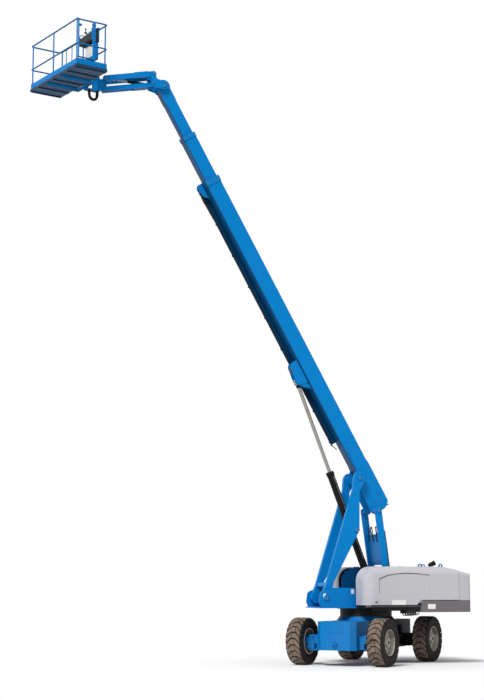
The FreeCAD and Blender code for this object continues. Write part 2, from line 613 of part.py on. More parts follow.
def front_link():
    """Two side arms whose gussets carry the lift cylinder's trunnion, joined by a cross tube.

    Drawn along X from the foot pin to the boom pin."""
    half, head, foot = "(link_depth / 2)", "link_head", "(link_head - 35)"
    top, corner = "link_length + link_head", "link_head - 2"
    apex = ("gusset_reach * cos(gusset_angle)", "gusset_reach * sin(gusset_angle)")
    bore = "main_pin_radius + pin_play"
    arm = slab("link_arm", "side", [
        ("-%s" % foot, "-%s" % foot, foot + " - 2"), ("60", "-%s" % foot, "90"), ("300", "-%s" % half),
        ("link_length - 320", "-%s" % half), ("link_length - 60", "-%s" % head, "90"),
        (top, "-%s" % head, corner), (top, head, corner), ("link_length - 60", head, "90"),
        ("link_length - 320", half), ("%s + 40" % apex[0], "%s + gusset_rim" % apex[1], "60"),
        ("%s - 60" % apex[0], "%s + gusset_rim - 10" % apex[1], "60"), ("450", half),
        ("60", foot, "90"), ("-%s" % foot, foot, foot + " - 2")],
        "link_inner", "link_outer",
        holes=[("0", "0", bore), ("link_length", "0", bore), (apex[0], apex[1], bore)])
    twin = mirrored("link_arm_twin", arm)
    tie = cylinder("link_tie", "75", "-link_inner - 5", "link_inner + 5", "side", "330")
    piece = fuse("front_link_fuse", arm, twin, tie)
    set_place(piece, "link_foot_x", "0", "link_foot_z", ACROSS, "-link_angle")
    return node("front_link", piece)


def main_pin_at():
    return ("(link_foot_x + link_length * cos(link_angle))",
        "(link_foot_z + link_length * sin(link_angle))")


def rear_pin_at():
    x, z = main_pin_at()
    return ("(%s - rear_pin_back * cos(boom_angle))" % x, "(%s - rear_pin_back * sin(boom_angle))" % z)


def rear_link():
    """Two side arms and a web plate.  Drawn along X from the boom pin down to the foot."""
    px, pz = rear_pin_at()
    dx, dz = "(rear_foot_x - %s)" % px, "(rear_foot_z - %s)" % pz
    length = "sqrt(%s * %s + %s * %s)" % (dx, dx, dz, dz)
    half = "rear_depth / 2"
    arm = slab("rear_arm", "side", [
        ("-90", "-60", "75"), ("-50", "-%s" % half, "60"), ("%s + 40" % length, "-%s + 10" % half, "60"),
        ("%s + 75" % length, "-40", "38"), ("%s + 75" % length, "40", "38"),
        ("%s + 40" % length, "%s - 10" % half, "60"),
        ("-50", half, "60"), ("-90", "60", "75")], "rear_inner", "rear_outer",
        holes=[("0", "0", "main_pin_radius + pin_play"), (length, "0", "main_pin_radius + 1")])
    web = slab("rear_web", "side", box_outline("%s - 1550" % length, "-12", "%s - 780" % length, "12"),
               "-rear_inner - 5", "rear_inner + 5")
    piece = fuse("rear_link_fuse", arm, mirrored("rear_arm_twin", arm), web)
    set_place(piece, px, "0", pz, ACROSS, "-atan2(%s; %s)" % (dz, dx))
    return node("rear_link", piece)


def lift_cylinder():
    """The barrel hangs in the front link by a trunnion; drawn along X from the trunnion."""
    gx = "(link_foot_x + gusset_reach * cos(link_angle + gusset_angle))"
    gz = "(link_foot_z + gusset_reach * sin(link_angle + gusset_angle))"
    mx, mz = main_pin_at()
    qx = "(%s + lift_pin_ahead * cos(boom_angle) + lift_pin_drop * sin(boom_angle))" % mx
    qz = "(%s + lift_pin_ahead * sin(boom_angle) - lift_pin_drop * cos(boom_angle))" % mz
    dx, dz = "(%s - %s)" % (qx, gx), "(%s - %s)" % (qz, gz)
    length = "sqrt(%s * %s + %s * %s)" % (dx, dx, dz, dz)
    turn = "-atan2(%s; %s)" % (dz, dx)
    shell = cylinder("barrel_shell", "barrel_radius", "-barrel_below", "barrel_above - 60", "front")
    gland = cylinder("barrel_gland", "barrel_radius + 6", "barrel_above - 130", "barrel_above", "front")
    collar = slab("barrel_collar", "side", box_outline("-110", "-105", "110", "105", "40"), "-120", "120")
    trunnion = cylinder("barrel_trunnion", "main_pin_radius", "-link_outer - 12", "link_outer + 12",
        "side")
    bore = cylinder("barrel_bore", "rod_radius + pin_play", "-barrel_below + 60", "barrel_above + 10",
        "front")
    barrel = cut("barrel_cut", fuse("barrel_fuse", shell, gland, collar, trunnion), bore)
    set_place(barrel, gx, "0", gz, ACROSS, turn)
    node("lift_cylinder_barrel", barrel)
    rod = cylinder("rod_shaft", "rod_radius", "%s - eye_radius - rod_length" % length,
                   "%s - eye_radius + 20" % length, "front")
    eye = cylinder("rod_eye", "eye_radius", "-eye_half_width", "eye_half_width", "side", length)
    hole = cylinder("rod_eye_hole", "main_pin_radius + 1", "-90", "90", "side", length)
    whole = cut("rod_cut", fuse("rod_fuse", rod, eye), hole)
    set_place(whole, gx, "0", gz, ACROSS, turn)
    node("lift_cylinder_rod", whole)


# ---------------------------------------------------------------- boom

def in_boom(piece):
    x, z = main_pin_at()
    return set_place(piece, x, "0", z, ACROSS, "-boom_angle")


def tube_section(name, tail, head, low, height, width, radius="40"):
    """A hollow rounded box section along X."""
    outer = slab(name + "_outer", "front", box_outline("-%s / 2" % width, low, "%s / 2" % width,
        "%s + %s" % (low, height), radius),
                 tail, head)
    inner = slab(name + "_inner", "front", box_outline(
        "-%s / 2 + wall" % width, "%s + wall" % low, "%s / 2 - wall" % width,
        "%s + %s - wall" % (low, height),
        "%s - wall" % radius), "%s - 10" % tail, "%s + 10" % head)
    return outer, inner


def boom_base():
    """The outer section: tube, rear side plates with the link pins, lift bracket and head collar."""
    outer, inner = tube_section("base_tube", "base_tail", "base_head", "base_low", "base_height",
        "base_width")
    top = "base_low + base_height"
    side = slab("rear_plate", "side", [
        ("plate_tail", "120", "60"), ("plate_tail + 40", "-60", "60"),
        ("-rear_pin_back - 20", "-95", "80"),
        ("-rear_pin_back + 120", "-80"), ("-160", "-60"), ("-60", "-110", "60"),
        ("60", "-110", "60"), ("180", "base_low + 5"), ("700", "base_low + 60"),
        ("900", "base_low + 120"), ("700", "%s - 80" % top), ("200", "%s - 3" % top),
        ("plate_tail + 120", "%s - 3" % top, "90"), ("plate_tail", "%s - 160" % top, "90")],
        "base_width / 2 - 1", "base_width / 2 + plate_side - 1")
    pins = [cylinder("main_pin", "main_pin_radius", "base_width / 2", "link_outer + 12", "side"),
            cylinder("main_spacer", "75", "base_width / 2", "link_inner - slip", "side"),
            cylinder("rear_pin", "main_pin_radius", "base_width / 2", "rear_outer + 12", "side",
                "-rear_pin_back"),
            cylinder("rear_spacer", "70", "base_width / 2", "rear_inner - slip", "side",
                "-rear_pin_back"),
            cylinder("cylinder_pin", "30", "base_width / 2", "base_width / 2 + 30", "side", "-600",
                z="%s - 160" % top)]
    bracket = slab("lift_cheek", "side", [
        ("lift_pin_ahead - 330", "base_low + 5"), ("lift_pin_ahead - 70", "-lift_pin_drop - 60", "60"),
        ("lift_pin_ahead + 70", "-lift_pin_drop - 60", "60"), ("lift_pin_ahead + 230", "base_low + 5")],
        "eye_half_width + 12", "eye_half_width + 34")
    stub = cylinder("lift_stub", "main_pin_radius", "eye_half_width + 6", "eye_half_width + 40", "side",
        "lift_pin_ahead", z="-lift_pin_drop")
    back_plate = slab("tail_plate", "front", box_outline("-base_width / 2 + 1", "base_low + 150",
        "base_width / 2 - 1", "%s - 15" % top),
                      "plate_tail + 30", "plate_tail + 45")
    collar = slab("head_collar", "front", box_outline(
        "-base_width / 2 - 14", "base_low - 14", "base_width / 2 + 14", "%s + 14" % top, "45"),
        "base_head - 160", "base_head - 5")
    halves = [side, *pins, bracket, stub]
    solid = fuse("base_fuse", outer, collar, back_plate, *halves,
        *[mirrored("base_twin", h) for h in halves])
    hollow = cut("base_cut", solid, inner)
    pads = wear_pads("base_pad", "base_head - 190", "base_head - 10", "base_width", "base_height",
        "mid_width", "mid_height")
    return node("boom_base", in_boom(fuse("base_whole", hollow, *pads)))


def wear_pads(name, tail, head, width, height, inner_width, inner_height):
    """Four pads inside a section's head that the next section slides on."""
    centre = "base_low + base_height / 2"
    upper = slab(name + "_top", "front", box_outline(
        "-70", "%s + %s / 2 + slip" % (centre, inner_height), "70",
        "%s + %s / 2 - wall + 1" % (centre, height)), tail, head)
    lower = slab(name + "_bottom", "front", box_outline(
        "-70", "%s - %s / 2 + wall - 1" % (centre, height), "70",
        "%s - %s / 2 - slip" % (centre, inner_height)), tail, head)
    side = slab(name + "_side", "front", box_outline(
        "%s / 2 + slip" % inner_width, "%s - 60" % centre, "%s / 2 - wall + 1" % width,
        "%s + 60" % centre), tail, head)
    return upper, lower, side, mirrored(name + "_side_twin", side)


def hose_tray():
    """A channel under the tube's far edge that carries the hoses."""
    tray = slab("tray_channel", "front", [
        ("-187", "base_low - slip"), ("-187", "base_low - 120"), ("-103", "base_low - 120"),
        ("-103", "base_low - 112"),
        ("-179", "base_low - 112"), ("-179", "base_low - 8"), ("-140", "base_low - 8"),
        ("-140", "base_low - slip")],
        "1000", "base_head - 170")
    return node("hose_tray", in_boom(tray))


def inner_section(name, tail, head, height, width):
    low = "base_low + base_height / 2 - %s / 2" % height
    outer, inner = tube_section(name, tail, head, low, height, width, "32")
    return outer, inner, low


def boom_mid():
    outer, inner, low = inner_section("mid_tube", "mid_tail", "mid_head", "mid_height", "mid_width")
    collar = slab("mid_collar", "front", box_outline(
        "-mid_width / 2 - 10", "%s - 10" % low, "mid_width / 2 + 10", "%s + mid_height + 10" % low, "38"),
        "mid_head - 120", "mid_head - 5")
    hollow = cut("mid_cut", fuse("mid_fuse", outer, collar), inner)
    pads = wear_pads("mid_pad", "mid_head - 190", "mid_head - 10", "mid_width", "mid_height",
        "tip_width", "tip_height")
    return node("boom_mid", in_boom(fuse("mid_whole", hollow, *pads)))


def boom_tip():
    """The inner section, closed at its head by a round nose that holds the jib's level pin."""
    outer, inner, low = inner_section("tip_tube", "tip_tail", "tip_head - 60", "tip_height", "tip_width")
    centre = "base_low + base_height / 2"
    nose = cylinder("tip_nose", "tip_height / 2", "-tip_width / 2", "tip_width / 2", "side", "tip_head",
        z=centre)
    hub = cylinder("tip_hub", "75", "-cheek_inner + 5", "cheek_inner - 5", "side", "tip_head", z=centre)
    disc = cylinder("tip_disc", "head_radius", "tip_width / 2 - 1", "tip_width / 2 + 10", "side",
                    "tip_head", z=centre)
    neck = slab("tip_neck", "side", box_outline(
        "tip_head - 420", "%s - tip_height / 2" % centre, "tip_head", "%s + tip_height / 2" % centre),
        "-tip_width / 2", "tip_width / 2")
    bore = cylinder("nose_bore", "jib_pin_radius + 15 + pin_play", "-cheek_inner - 10",
        "cheek_inner + 10", "side", "tip_head", z=centre)
    whole = fuse("tip_fuse", cut("tip_hollow", outer, inner), nose, hub, neck, disc,
                 mirrored("tip_disc_twin", disc))
    return node("boom_tip", in_boom(cut("tip_cut", whole, bore)))


# ---------------------------------------------------------------- jib

def level_pin_at():
    x, z = main_pin_at()
    rise = "(base_low + base_height / 2)"
    return ("(%s + tip_head * cos(boom_angle) - %s * sin(boom_angle))" % (x, rise),
            "(%s + tip_head * sin(boom_angle) + %s * cos(boom_angle))" % (z, rise))


def jib_foot_at():
    x, z = level_pin_at()
    return "(%s + jib_pin_ahead)" % x, "(%s + jib_pin_up)" % z


def jib_end_at():
    x, z = jib_foot_at()
    return "(%s + jib_length * cos(jib_angle))" % x, "(%s + jib_length * sin(jib_angle))" % z


def jib_bracket():
    """Two cheeks on the boom's nose that stay upright and hold both jib arms; origin at the level pin."""
    ahead, up, gap = "jib_pin_ahead", "jib_pin_up", "jib_pin_gap"
    cheek = slab("jib_cheek", "side", [
        ("-90", "-95", "80"), ("60", "-95", "80"), ("%s + 62" % ahead, "%s - %s - 62" % (up, gap), "60"),
        ("%s + 60" % ahead, "%s + 60" % up, "58"), ("%s - 60" % ahead, "%s + 60" % up, "58"),
        ("%s - 75" % ahead, "%s - 125" % up, "60"), ("-90", "90", "80")],
        "cheek_inner", "cheek_outer")
    stub = cylinder("upper_stub", "jib_pin_radius", "upper_inner - 3", "cheek_outer + 8", "side", ahead,
        z=up)
    lower = cylinder("lower_pin", "jib_pin_radius", "-cheek_outer - 8", "cheek_outer + 8", "side",
        ahead, z="%s - %s" % (up, gap))
    level = cylinder("level_pin", "jib_pin_radius + 15", "-cheek_outer - 10", "cheek_outer + 10", "side")
    halves = [cheek, stub]
    piece = fuse("jib_bracket_fuse", *halves, *[mirrored("cheek_twin", h) for h in halves], lower, level)
    x, z = level_pin_at()
    return node("jib_bracket", set_place(piece, x, "0", z))


def jib_arm(name, inner, outer, depth, plate_side, drop):
    """A pair of flat tubes joined by a cover plate; drawn along X from the boom end."""
    half = "%s / 2" % depth
    tube = slab(name + "_tube", "side", [
        ("-%s" % half, "-%s" % half, "50"), ("jib_length + %s" % half, "-%s" % half, "50"),
        ("jib_length + %s" % half, half, "50"), ("-%s" % half, half, "50")], inner, outer,
        holes=[("0", "0", "jib_pin_radius + pin_play"), ("jib_length", "0", "jib_pin_radius + pin_play")])
    low, high = (half, "%s + 12" % half) if plate_side > 0 else ("-%s - 12" % half, "-%s" % half)
    cover = slab(name + "_cover", "side", box_outline("130", low, "480", high), "-(%s)" % outer, outer)
    pieces = [tube, mirrored(name + "_twin", tube), cover]
    if plate_side > 0:
        boss = cylinder("eye_boss", "jib_pin_radius", "47", "upper_inner + 5", "side", "jib_eye_reach")
        pieces += [boss, mirrored("eye_boss_twin", boss)]
    x, z = jib_foot_at()
    piece = fuse(name + "_fuse", *pieces)
    return node(name, set_place(piece, x, "0", "%s - (%s)" % (z, drop), ACROSS, "-jib_angle"))


def jib_cylinder():
    """Between the arms: its barrel on the lower arm's foot pin, its rod eye on the upper arm."""
    x, z = jib_foot_at()
    base_z = "(%s - jib_pin_gap)" % z
    dx = "(jib_eye_reach * cos(jib_angle))"
    dz = "(jib_eye_reach * sin(jib_angle) + jib_pin_gap)"
    length = "sqrt(%s * %s + %s * %s)" % (dx, dx, dz, dz)
    turn = "-atan2(%s; %s)" % (dz, dx)
    tube = cylinder("jib_barrel_tube", "jib_barrel_radius", "30", "jib_barrel_length", "front")
    barrel = fuse("jib_barrel_fuse", tube,
                  cylinder("jib_barrel_eye", "jib_barrel_radius + 2", "-44", "44", "side"))
    hollow = cylinder("jib_barrel_bore", "jib_rod_radius + pin_play", "70", "jib_barrel_length + 40",
        "front")
    pin_hole = cylinder("jib_barrel_hole", "jib_pin_radius + pin_play", "-50", "50", "side")
    held = cut("jib_barrel_cut", barrel, hollow, pin_hole)
    node("jib_cylinder_barrel", set_place(held, x, "0", base_z, ACROSS, turn))
    shaft = cylinder("jib_rod_shaft", "jib_rod_radius", "%s - jib_rod_length" % length,
                     "%s - 30" % length, "front")
    rod = fuse("jib_rod_fuse", shaft, cylinder("jib_rod_eye", "jib_barrel_radius", "-42", "42", "side",
        length))
    rod_hole = cylinder("jib_rod_hole", "jib_pin_radius + 1", "-50", "50", "side", length)
    node("jib_cylinder_rod", set_place(cut("jib_rod_cut", rod, rod_hole), x, "0", base_z, ACROSS, turn))


def platform_bracket():
    """The upright at the jib's end: lugs for both arms and the clamp of the slewing actuator.

    Origin at the upper arm's end pin."""
    lug = slab("end_lug", "side", [
        ("-45", "45", "40"), ("-45", "-jib_pin_gap - 45", "40"), ("45", "-jib_pin_gap - 45"),
        ("45", "-jib_pin_gap - 30"), ("rotator_ahead - 40", "-jib_pin_gap - 30"),
        ("rotator_ahead - 40", "0"),
        ("45", "0"), ("45", "45", "30")], "-lower_inner + 5", "lower_inner - 5")
    pins = [cylinder("upper_end_pin", "jib_pin_radius", "-upper_outer - 10", "upper_outer + 10", "side"),
            cylinder("lower_end_pin", "jib_pin_radius", "-lower_outer - 8", "lower_outer + 8", "side",
                z="-jib_pin_gap")]
    drum = cylinder("rotator_drum", "rotator_radius", "-jib_pin_gap - 40",
        "rotator_height - jib_pin_gap - 40", "plan", "rotator_ahead")
    x, z = jib_end_at()
    return node("platform_bracket", set_place(fuse("platform_bracket_fuse", lug, *pins, drum), x, "0", z))


def rotator_at():
    x, z = jib_end_at()
    return "(%s + rotator_ahead)" % x, z


def on_platform(name, piece):
    """Place a piece of the platform, turned with it about the slewing actuator's axis."""
    held = doc.addObject("Part::Compound", name)
    held.Links = [piece]
    set_place(held, rotator_at()[0], "0", "platform_low", UP, "platform_turn")
    return node(name, held)


def platform_support():
    """Plates above and below the actuator, an upright behind it and two bearers under the floor."""
    z = "(%s - platform_low)" % rotator_at()[1]
    low, high = "%s - jib_pin_gap - 40" % z, "%s + rotator_height - jib_pin_gap - 40" % z
    outline = [("-rotator_radius + 5", "-90", "85"), ("platform_back - 60", "-95"),
        ("platform_back - 60", "95"),
               ("-rotator_radius + 5", "90", "85")]
    bottom = slab("support_bottom", "plan", outline, "%s - 25 - slip" % low, "%s - slip" % low)
    top = slab("support_top", "plan", outline, "%s + slip" % high, "%s + 25 + slip" % high)
    upright = slab("support_upright", "plan", box_outline("platform_back - 85", "-95",
        "platform_back - 60", "95"),
                   "%s - 25 - slip" % low, "%s + 25 + slip" % high)
    bearers = [slab("floor_bearer", "plan", box_outline(
        "platform_back - 65", "%s - 40" % y, "platform_back + platform_depth - 60", "%s + 40" % y),
        "-60", "-slip")
        for y in ("350", "-350")]
    cross = slab("support_cross", "plan", box_outline("platform_back - 65", "-391", "platform_back - 5",
        "391"), "-60", "-slip")
    stem = slab("support_stem", "plan", box_outline("platform_back - 85", "-95", "platform_back - 60",
        "95"), "-60", "%s" % high)
    return on_platform("platform_support", fuse("support_fuse", bottom, top, upright, stem, cross,
        *bearers))


def platform_floor():
    half, back, front = "platform_width / 2", "platform_back", "platform_back + platform_depth"
    deck = slab("floor_deck", "plan", box_outline(back, "-%s" % half, front, half, "40"), "0",
        "deck_height")
    return on_platform("platform_floor", deck)


def tube_run(name, start, end, radius="tube_radius"):
    """A straight round tube between two points of the platform's frame."""
    a, b = [tuple(map(str, p)) for p in (start, end)]
    if a[2] != b[2]:
        return cylinder(name, radius, a[2], b[2], "plan", a[0], a[1])
    if a[1] != b[1]:
        return cylinder(name, radius, a[1], b[1], "side", a[0], z=a[2])
    return cylinder(name, radius, a[0], b[0], "front", y=a[1], z=a[2])


def elbow(name, x, y, z, radius, start):
    """A level quarter bend of rail tube about (x, y), from the start angle on by ninety degrees."""
    bend = doc.addObject("Part::Torus", name)
    bend.setExpression("Radius1", "dims.bend_radius")
    bend.setExpression("Radius2", bind(radius))
    bend.Angle3 = 90
    bend.Placement = FreeCAD.Placement(FreeCAD.Vector(), FreeCAD.Rotation(UP, start))
    for key, text in (("x", x), ("y", y), ("z", z)):
        bend.setExpression("Placement.Base." + key, bind(text))
    return bend


def rail_ring(z, radius, back, front, left, right, gate_post):
    """One level rail round both long sides and the right end, and up to the gateway."""
    bend = "bend_radius"
    inner_back, inner_front = "(%s + %s)" % (back, bend), "(%s - %s)" % (front, bend)
    inner_left, inner_right = "(%s - %s)" % (left, bend), "(%s + %s)" % (right, bend)
    runs = [tube_run("rail", (back, inner_right, z), (back, inner_left, z), radius),
            tube_run("rail", (front, inner_right, z), (front, "%s + tube_radius" % left, z), radius),
            tube_run("rail", (inner_back, right, z), (inner_front, right, z), radius),
            tube_run("rail", (inner_back, left, z), (gate_post, left, z), radius)]
    bends = [elbow("rail_bend", inner_back, inner_right, z, radius, 180),
             elbow("rail_bend", inner_front, inner_right, z, radius, 270),
             elbow("rail_bend", inner_back, inner_left, z, radius, 90)]
    return runs + bends


def platform_rails():
    """Posts, top and middle rails and toe boards, open at the gateway in the left end."""
    rim = "(tube_radius + 6)"
    back, front = "platform_back + %s" % rim, "platform_back + platform_depth - %s" % rim
    left, right = "platform_width / 2 - %s" % rim, "-platform_width / 2 + %s" % rim
    gate_post = "platform_back + platform_depth - %s - gate_width" % rim
    low, thin = "deck_height", "tube_radius - 2"
    near_corner = [("%s + bend_radius + 30" % right), ("%s - bend_radius - 30" % left)]
    posts = [(back, y) for y in near_corner + ["0"]] + [(front, near_corner[0]), (front, "0"),
        (front, left), (gate_post, left)]
    pieces = [tube_run("post", (x, y, low), (x, y, "rail_height"), thin) for x, y in posts]
    pieces += rail_ring("rail_height", "tube_radius", back, front, left, right, gate_post)
    pieces += rail_ring("mid_rail", "tube_radius - 1", back, front, left, right, gate_post)
    toes = [slab("toe", "plan", box_outline("(%s) - 3" % x, right, "(%s) + 3" % x, left), low,
        "toe_height") for x in (back, front)]
    toes.append(slab("toe", "plan", box_outline(back, "(%s) - 3" % right, front, "(%s) + 3" % right),
        low, "toe_height"))
    toes.append(slab("toe", "plan", box_outline(back, "(%s) - 3" % left, gate_post, "(%s) + 3" % left),
        low, "toe_height"))
    anchors = [slab("lanyard_anchor", "side", [
        ("%s - 5" % back, "mid_rail + 120"), ("%s + 70" % back, "mid_rail + 135", "20"),
        ("%s + 70" % back, "mid_rail + 185", "20"),
        ("%s - 5" % back, "mid_rail + 200")], "%s - 5" % y, "%s + 5" % y,
        holes=[("%s + 45" % back, "mid_rail + 160", "12")]) for y in ("-600", "-900")]
    plates = [slab("anchor_post", "plan", box_outline("%s - 10" % back, "%s - 15" % y, "%s" % back,
        "%s + 15" % y),
                   "mid_rail", "rail_height") for y in ("-600", "-900")]
    return on_platform("platform_rails", fuse("rails_fuse", *pieces, *toes, *anchors, *plates))


def platform_gate():
    """A swing gate in the left end, hinged on its own post."""
    rim = "(tube_radius + 6)"
    left = "platform_width / 2 - %s" % rim
    hinge = "platform_back + platform_depth - %s - gate_width" % rim
    near, far = "(%s) + 2 * tube_radius + 4" % hinge, "(%s) + gate_width - 2 * tube_radius - 6" % hinge
    bottom = "mid_rail - 330"
    bars = [tube_run("gate_bar", (x, left, bottom), (x, left, "rail_height - 5"),
        "tube_radius - 2") for x in (near, far)]
    rails = [tube_run("gate_rail", ("%s - tube_radius" % near, left, z),
        ("%s + tube_radius" % far, left, z))
             for z in ("rail_height - 5", "mid_rail", bottom)]
    sleeves = []
    for z in ("rail_height - 110", "mid_rail - 150"):
        sleeve = cylinder("gate_sleeve", "tube_radius + 7", z, "%s + 60" % z, "plan", hinge, left)
        ear = slab("gate_ear", "plan", box_outline("%s + tube_radius + 3" % hinge, "%s - 8" % left,
            near, "%s + 8" % left), z, "%s + 60" % z)
        hole = cylinder("gate_sleeve_hole", "tube_radius - 2 + pin_play", "%s - 5" % z, "%s + 65" % z,
            "plan", hinge, left)
        sleeves.append(cut("gate_hinge", fuse("gate_hinge_fuse", sleeve, ear), hole))
    return on_platform("platform_gate", fuse("gate_fuse", *bars, *rails, *sleeves))


def control_console():
    """A sloping control box held on the rear rail by a skirt."""
    back = "platform_back + tube_radius + 6"
    box = slab("console_box", "side", [
        ("%s + tube_radius + slip" % back, "rail_height - 330"),
        ("%s + 240" % back, "rail_height - 300", "20"),
        ("%s + 240" % back, "rail_height - 120", "30"), ("%s + 60" % back, "rail_height + 20", "30"),
        ("%s + tube_radius + slip" % back, "rail_height + 20")], "250", "850")
    return on_platform("control_console", box)


def rounded_route(points):
    """Straight runs joined by tangent arcs; gives the wire and prints each arc's radius."""
    edges, last = [], points[0]
    radii = []
    for before, corner, after in zip(points, points[1:], points[2:]):
        into, out = corner - before, after - corner
        half_turn = into.getAngle(out) / 2
        reach = 0.45 * min(into.Length, out.Length)
        radii.append(reach / math.tan(half_turn))
        into.normalize()
        out.normalize()
        start, end = corner - into * reach, corner + out * reach
        toward = out - into
        toward.normalize()
        middle = corner + toward * (radii[-1] / math.cos(half_turn) - radii[-1])
        edges += [Part.makeLine(last, start), Part.Arc(start, middle, end).toShape()]
        last = end
    edges.append(Part.makeLine(last, points[-1]))
    print("hose arc radii", [round(r, 1) for r in radii])
    return Part.Wire(edges)


def hose_loop():
    """A free hose that hangs in a loop below the platform's support, with both ends in its bottom plate."""
    drop = size("%s - platform_low - jib_pin_gap - 40 - 25 - 2 * slip" % rotator_at()[1])
    points = [FreeCAD.Vector(x, y, drop + z) for x, y, z in HOSE_ROUTE]
    spine = doc.addObject("Part::Feature", "hose_spine")
    spine.Shape = rounded_route(points)
    ring = doc.addObject("Part::Circle", "hose_ring")
    ring.setExpression("Radius", "dims.hose_radius")
    ring.Placement = FreeCAD.Placement(points[0], FreeCAD.Rotation(UP, points[1] - points[0]))
    sweep = doc.addObject("Part::Sweep", "hose_sweep")
    sweep.Sections, sweep.Spine, sweep.Solid, sweep.Frenet = [ring], spine, True, False
    return on_platform("hose_loop", sweep)


chassis_frame()
axle_beam("front_axle", "1", True)
axle_beam("rear_axle", "-1", False)
knuckle("knuckle_left", 1)
knuckle("knuckle_right", -1)
tie_rod()
wheels()
slew_ring()
turntable()
front_link()
rear_link()
lift_cylinder()
boom_base()
hose_tray()
boom_mid()
boom_tip()
jib_bracket()
jib_arm("jib_upper_arm", "upper_inner", "upper_outer", "upper_depth", 1, "0")
jib_arm("jib_lower_arm", "lower_inner", "lower_outer", "lower_depth", -1, "jib_pin_gap")
jib_cylinder()
platform_bracket()
platform_support()
platform_floor()
platform_rails()
platform_gate()
control_console()
hose_loop()
doc.recompute()

faults = [thing.Name for thing in doc.Objects if "Invalid" in thing.State or "Error" in thing.State]
for name, thing in NODES.items():
    if thing.Shape.isNull() or not thing.Shape.isValid():
        faults.append(name)
if faults:
    raise SystemExit("not built: " + ", ".join(faults))

os.makedirs("parts", exist_ok=True)
for name, thing in NODES.items():
    thing.Shape.exportStep("parts/%s.step" % name)
    print("%-22s solids %2d  volume %10.3f l" % (name, len(thing.Shape.Solids), thing.Shape.Volume / 1e6))
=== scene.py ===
# %% [markdown]
# # A telescopic boom lift, dressed
# The machine arrives as a frame of solid parts that are already in their places and already move.
# This lesson adds what a frame leaves out: paint, rubber, chrome, treads, bolts, hoses and the
# small fittings of a working machine. Every length is in metres, +Z is up, +X runs along the boom
# and +Y is the left side of the turntable.

# %% Load the frame
import json
import math

import bmesh
import bpy
from mathutils import Matrix, Vector

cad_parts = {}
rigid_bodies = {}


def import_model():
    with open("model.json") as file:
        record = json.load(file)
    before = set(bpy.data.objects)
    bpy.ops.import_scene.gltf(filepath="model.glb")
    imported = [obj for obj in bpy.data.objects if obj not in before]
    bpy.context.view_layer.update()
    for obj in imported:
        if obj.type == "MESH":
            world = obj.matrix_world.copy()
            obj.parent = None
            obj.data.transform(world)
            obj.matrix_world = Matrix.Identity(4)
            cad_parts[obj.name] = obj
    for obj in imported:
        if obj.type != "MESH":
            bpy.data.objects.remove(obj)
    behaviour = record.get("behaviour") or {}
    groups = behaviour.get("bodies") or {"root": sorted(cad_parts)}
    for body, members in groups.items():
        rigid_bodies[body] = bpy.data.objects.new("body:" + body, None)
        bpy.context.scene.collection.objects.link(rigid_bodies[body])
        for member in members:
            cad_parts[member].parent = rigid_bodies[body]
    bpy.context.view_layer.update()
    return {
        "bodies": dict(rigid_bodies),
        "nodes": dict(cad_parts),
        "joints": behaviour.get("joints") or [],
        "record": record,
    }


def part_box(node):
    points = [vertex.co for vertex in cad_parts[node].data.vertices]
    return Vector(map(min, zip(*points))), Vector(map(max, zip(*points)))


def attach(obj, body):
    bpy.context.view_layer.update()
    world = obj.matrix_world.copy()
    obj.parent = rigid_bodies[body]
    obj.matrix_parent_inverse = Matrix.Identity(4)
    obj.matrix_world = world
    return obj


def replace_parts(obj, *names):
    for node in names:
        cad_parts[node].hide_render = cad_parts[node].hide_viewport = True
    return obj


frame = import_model()
PINS = {joint["name"]: Vector(joint["pos_m"]) for joint in frame["joints"] if joint.get("pos_m")}
AXES = {joint["name"]: Vector(joint["axis"]) for joint in frame["joints"]}

# %% [markdown]
# ## The camera
# A tall machine is looked at from standing height, far enough back to fit it in: the camera stands
# 39 m away, slightly above two metres, turned a little to one side and tipped up. A matrix made
# from three square directions (right, up, and backwards) places it without any guessing of angles.

# %% Camera
STAND_OFF, EYE_HEIGHT, AROUND = 38.76, 2.02, math.radians(22.2)
PAN, TIP_UP = math.radians(-4.55), math.radians(8.53)
SENSOR, FOCAL = 24.0, 52.6183
UP, LEFT, BACK = Vector((0, 0, 1)), Vector((0, 1, 0)), Vector((-1, 0, 0))


def placed(name, data):
    """A new object in the scene."""
    thing = bpy.data.objects.new(name, data)
    bpy.context.scene.collection.objects.link(thing)
    return thing


level = Vector((-math.sin(AROUND), -math.cos(AROUND), 0))
aside = Vector((-math.cos(AROUND), math.sin(AROUND), 0))
ahead = level * math.cos(PAN) + aside * math.sin(PAN)
right = aside * math.cos(PAN) - level * math.sin(PAN)
ahead = ahead * math.cos(TIP_UP) + UP * math.sin(TIP_UP)
above = right.cross(ahead)

lens = bpy.data.cameras.new("camera")
lens.sensor_fit, lens.sensor_height = "VERTICAL", SENSOR
lens.lens, lens.clip_end = FOCAL, 500
camera = placed("camera", lens)
camera.matrix_world = Matrix((right, above, -ahead)).transposed().to_4x4()
camera.matrix_world.translation = UP * EYE_HEIGHT - level * STAND_OFF
bpy.context.scene.camera = camera
print("camera lens", round(FOCAL, 1), "mm")

# %% [markdown]
# ## The hose that hangs free
# Three hydraulic hoses hang in one loop under the platform's support, from fitting to fitting. A
# hose has a fixed length and no corners, so it is a NURBS spline: a few control points pull a
# smooth line towards them. Order 3 with end points used keeps it near its route and starts it
# straight.

# %% Free hose
TURN = math.radians(16.5)
ROTATOR = Vector((PINS["platform_rotate"].x, 0.0, 0.0))
HOSE_TOP, HOSE_RADIUS = 13.9454, 0.013
HOSE_ROUTE = [(0.190, 0.012, 0.0), (0.190, 0.012, -0.145), (0.120, 0.006, -0.215),
              (0.020, -0.006, -0.215), (-0.050, -0.012, -0.145), (-0.050, -0.012, 0.0)]


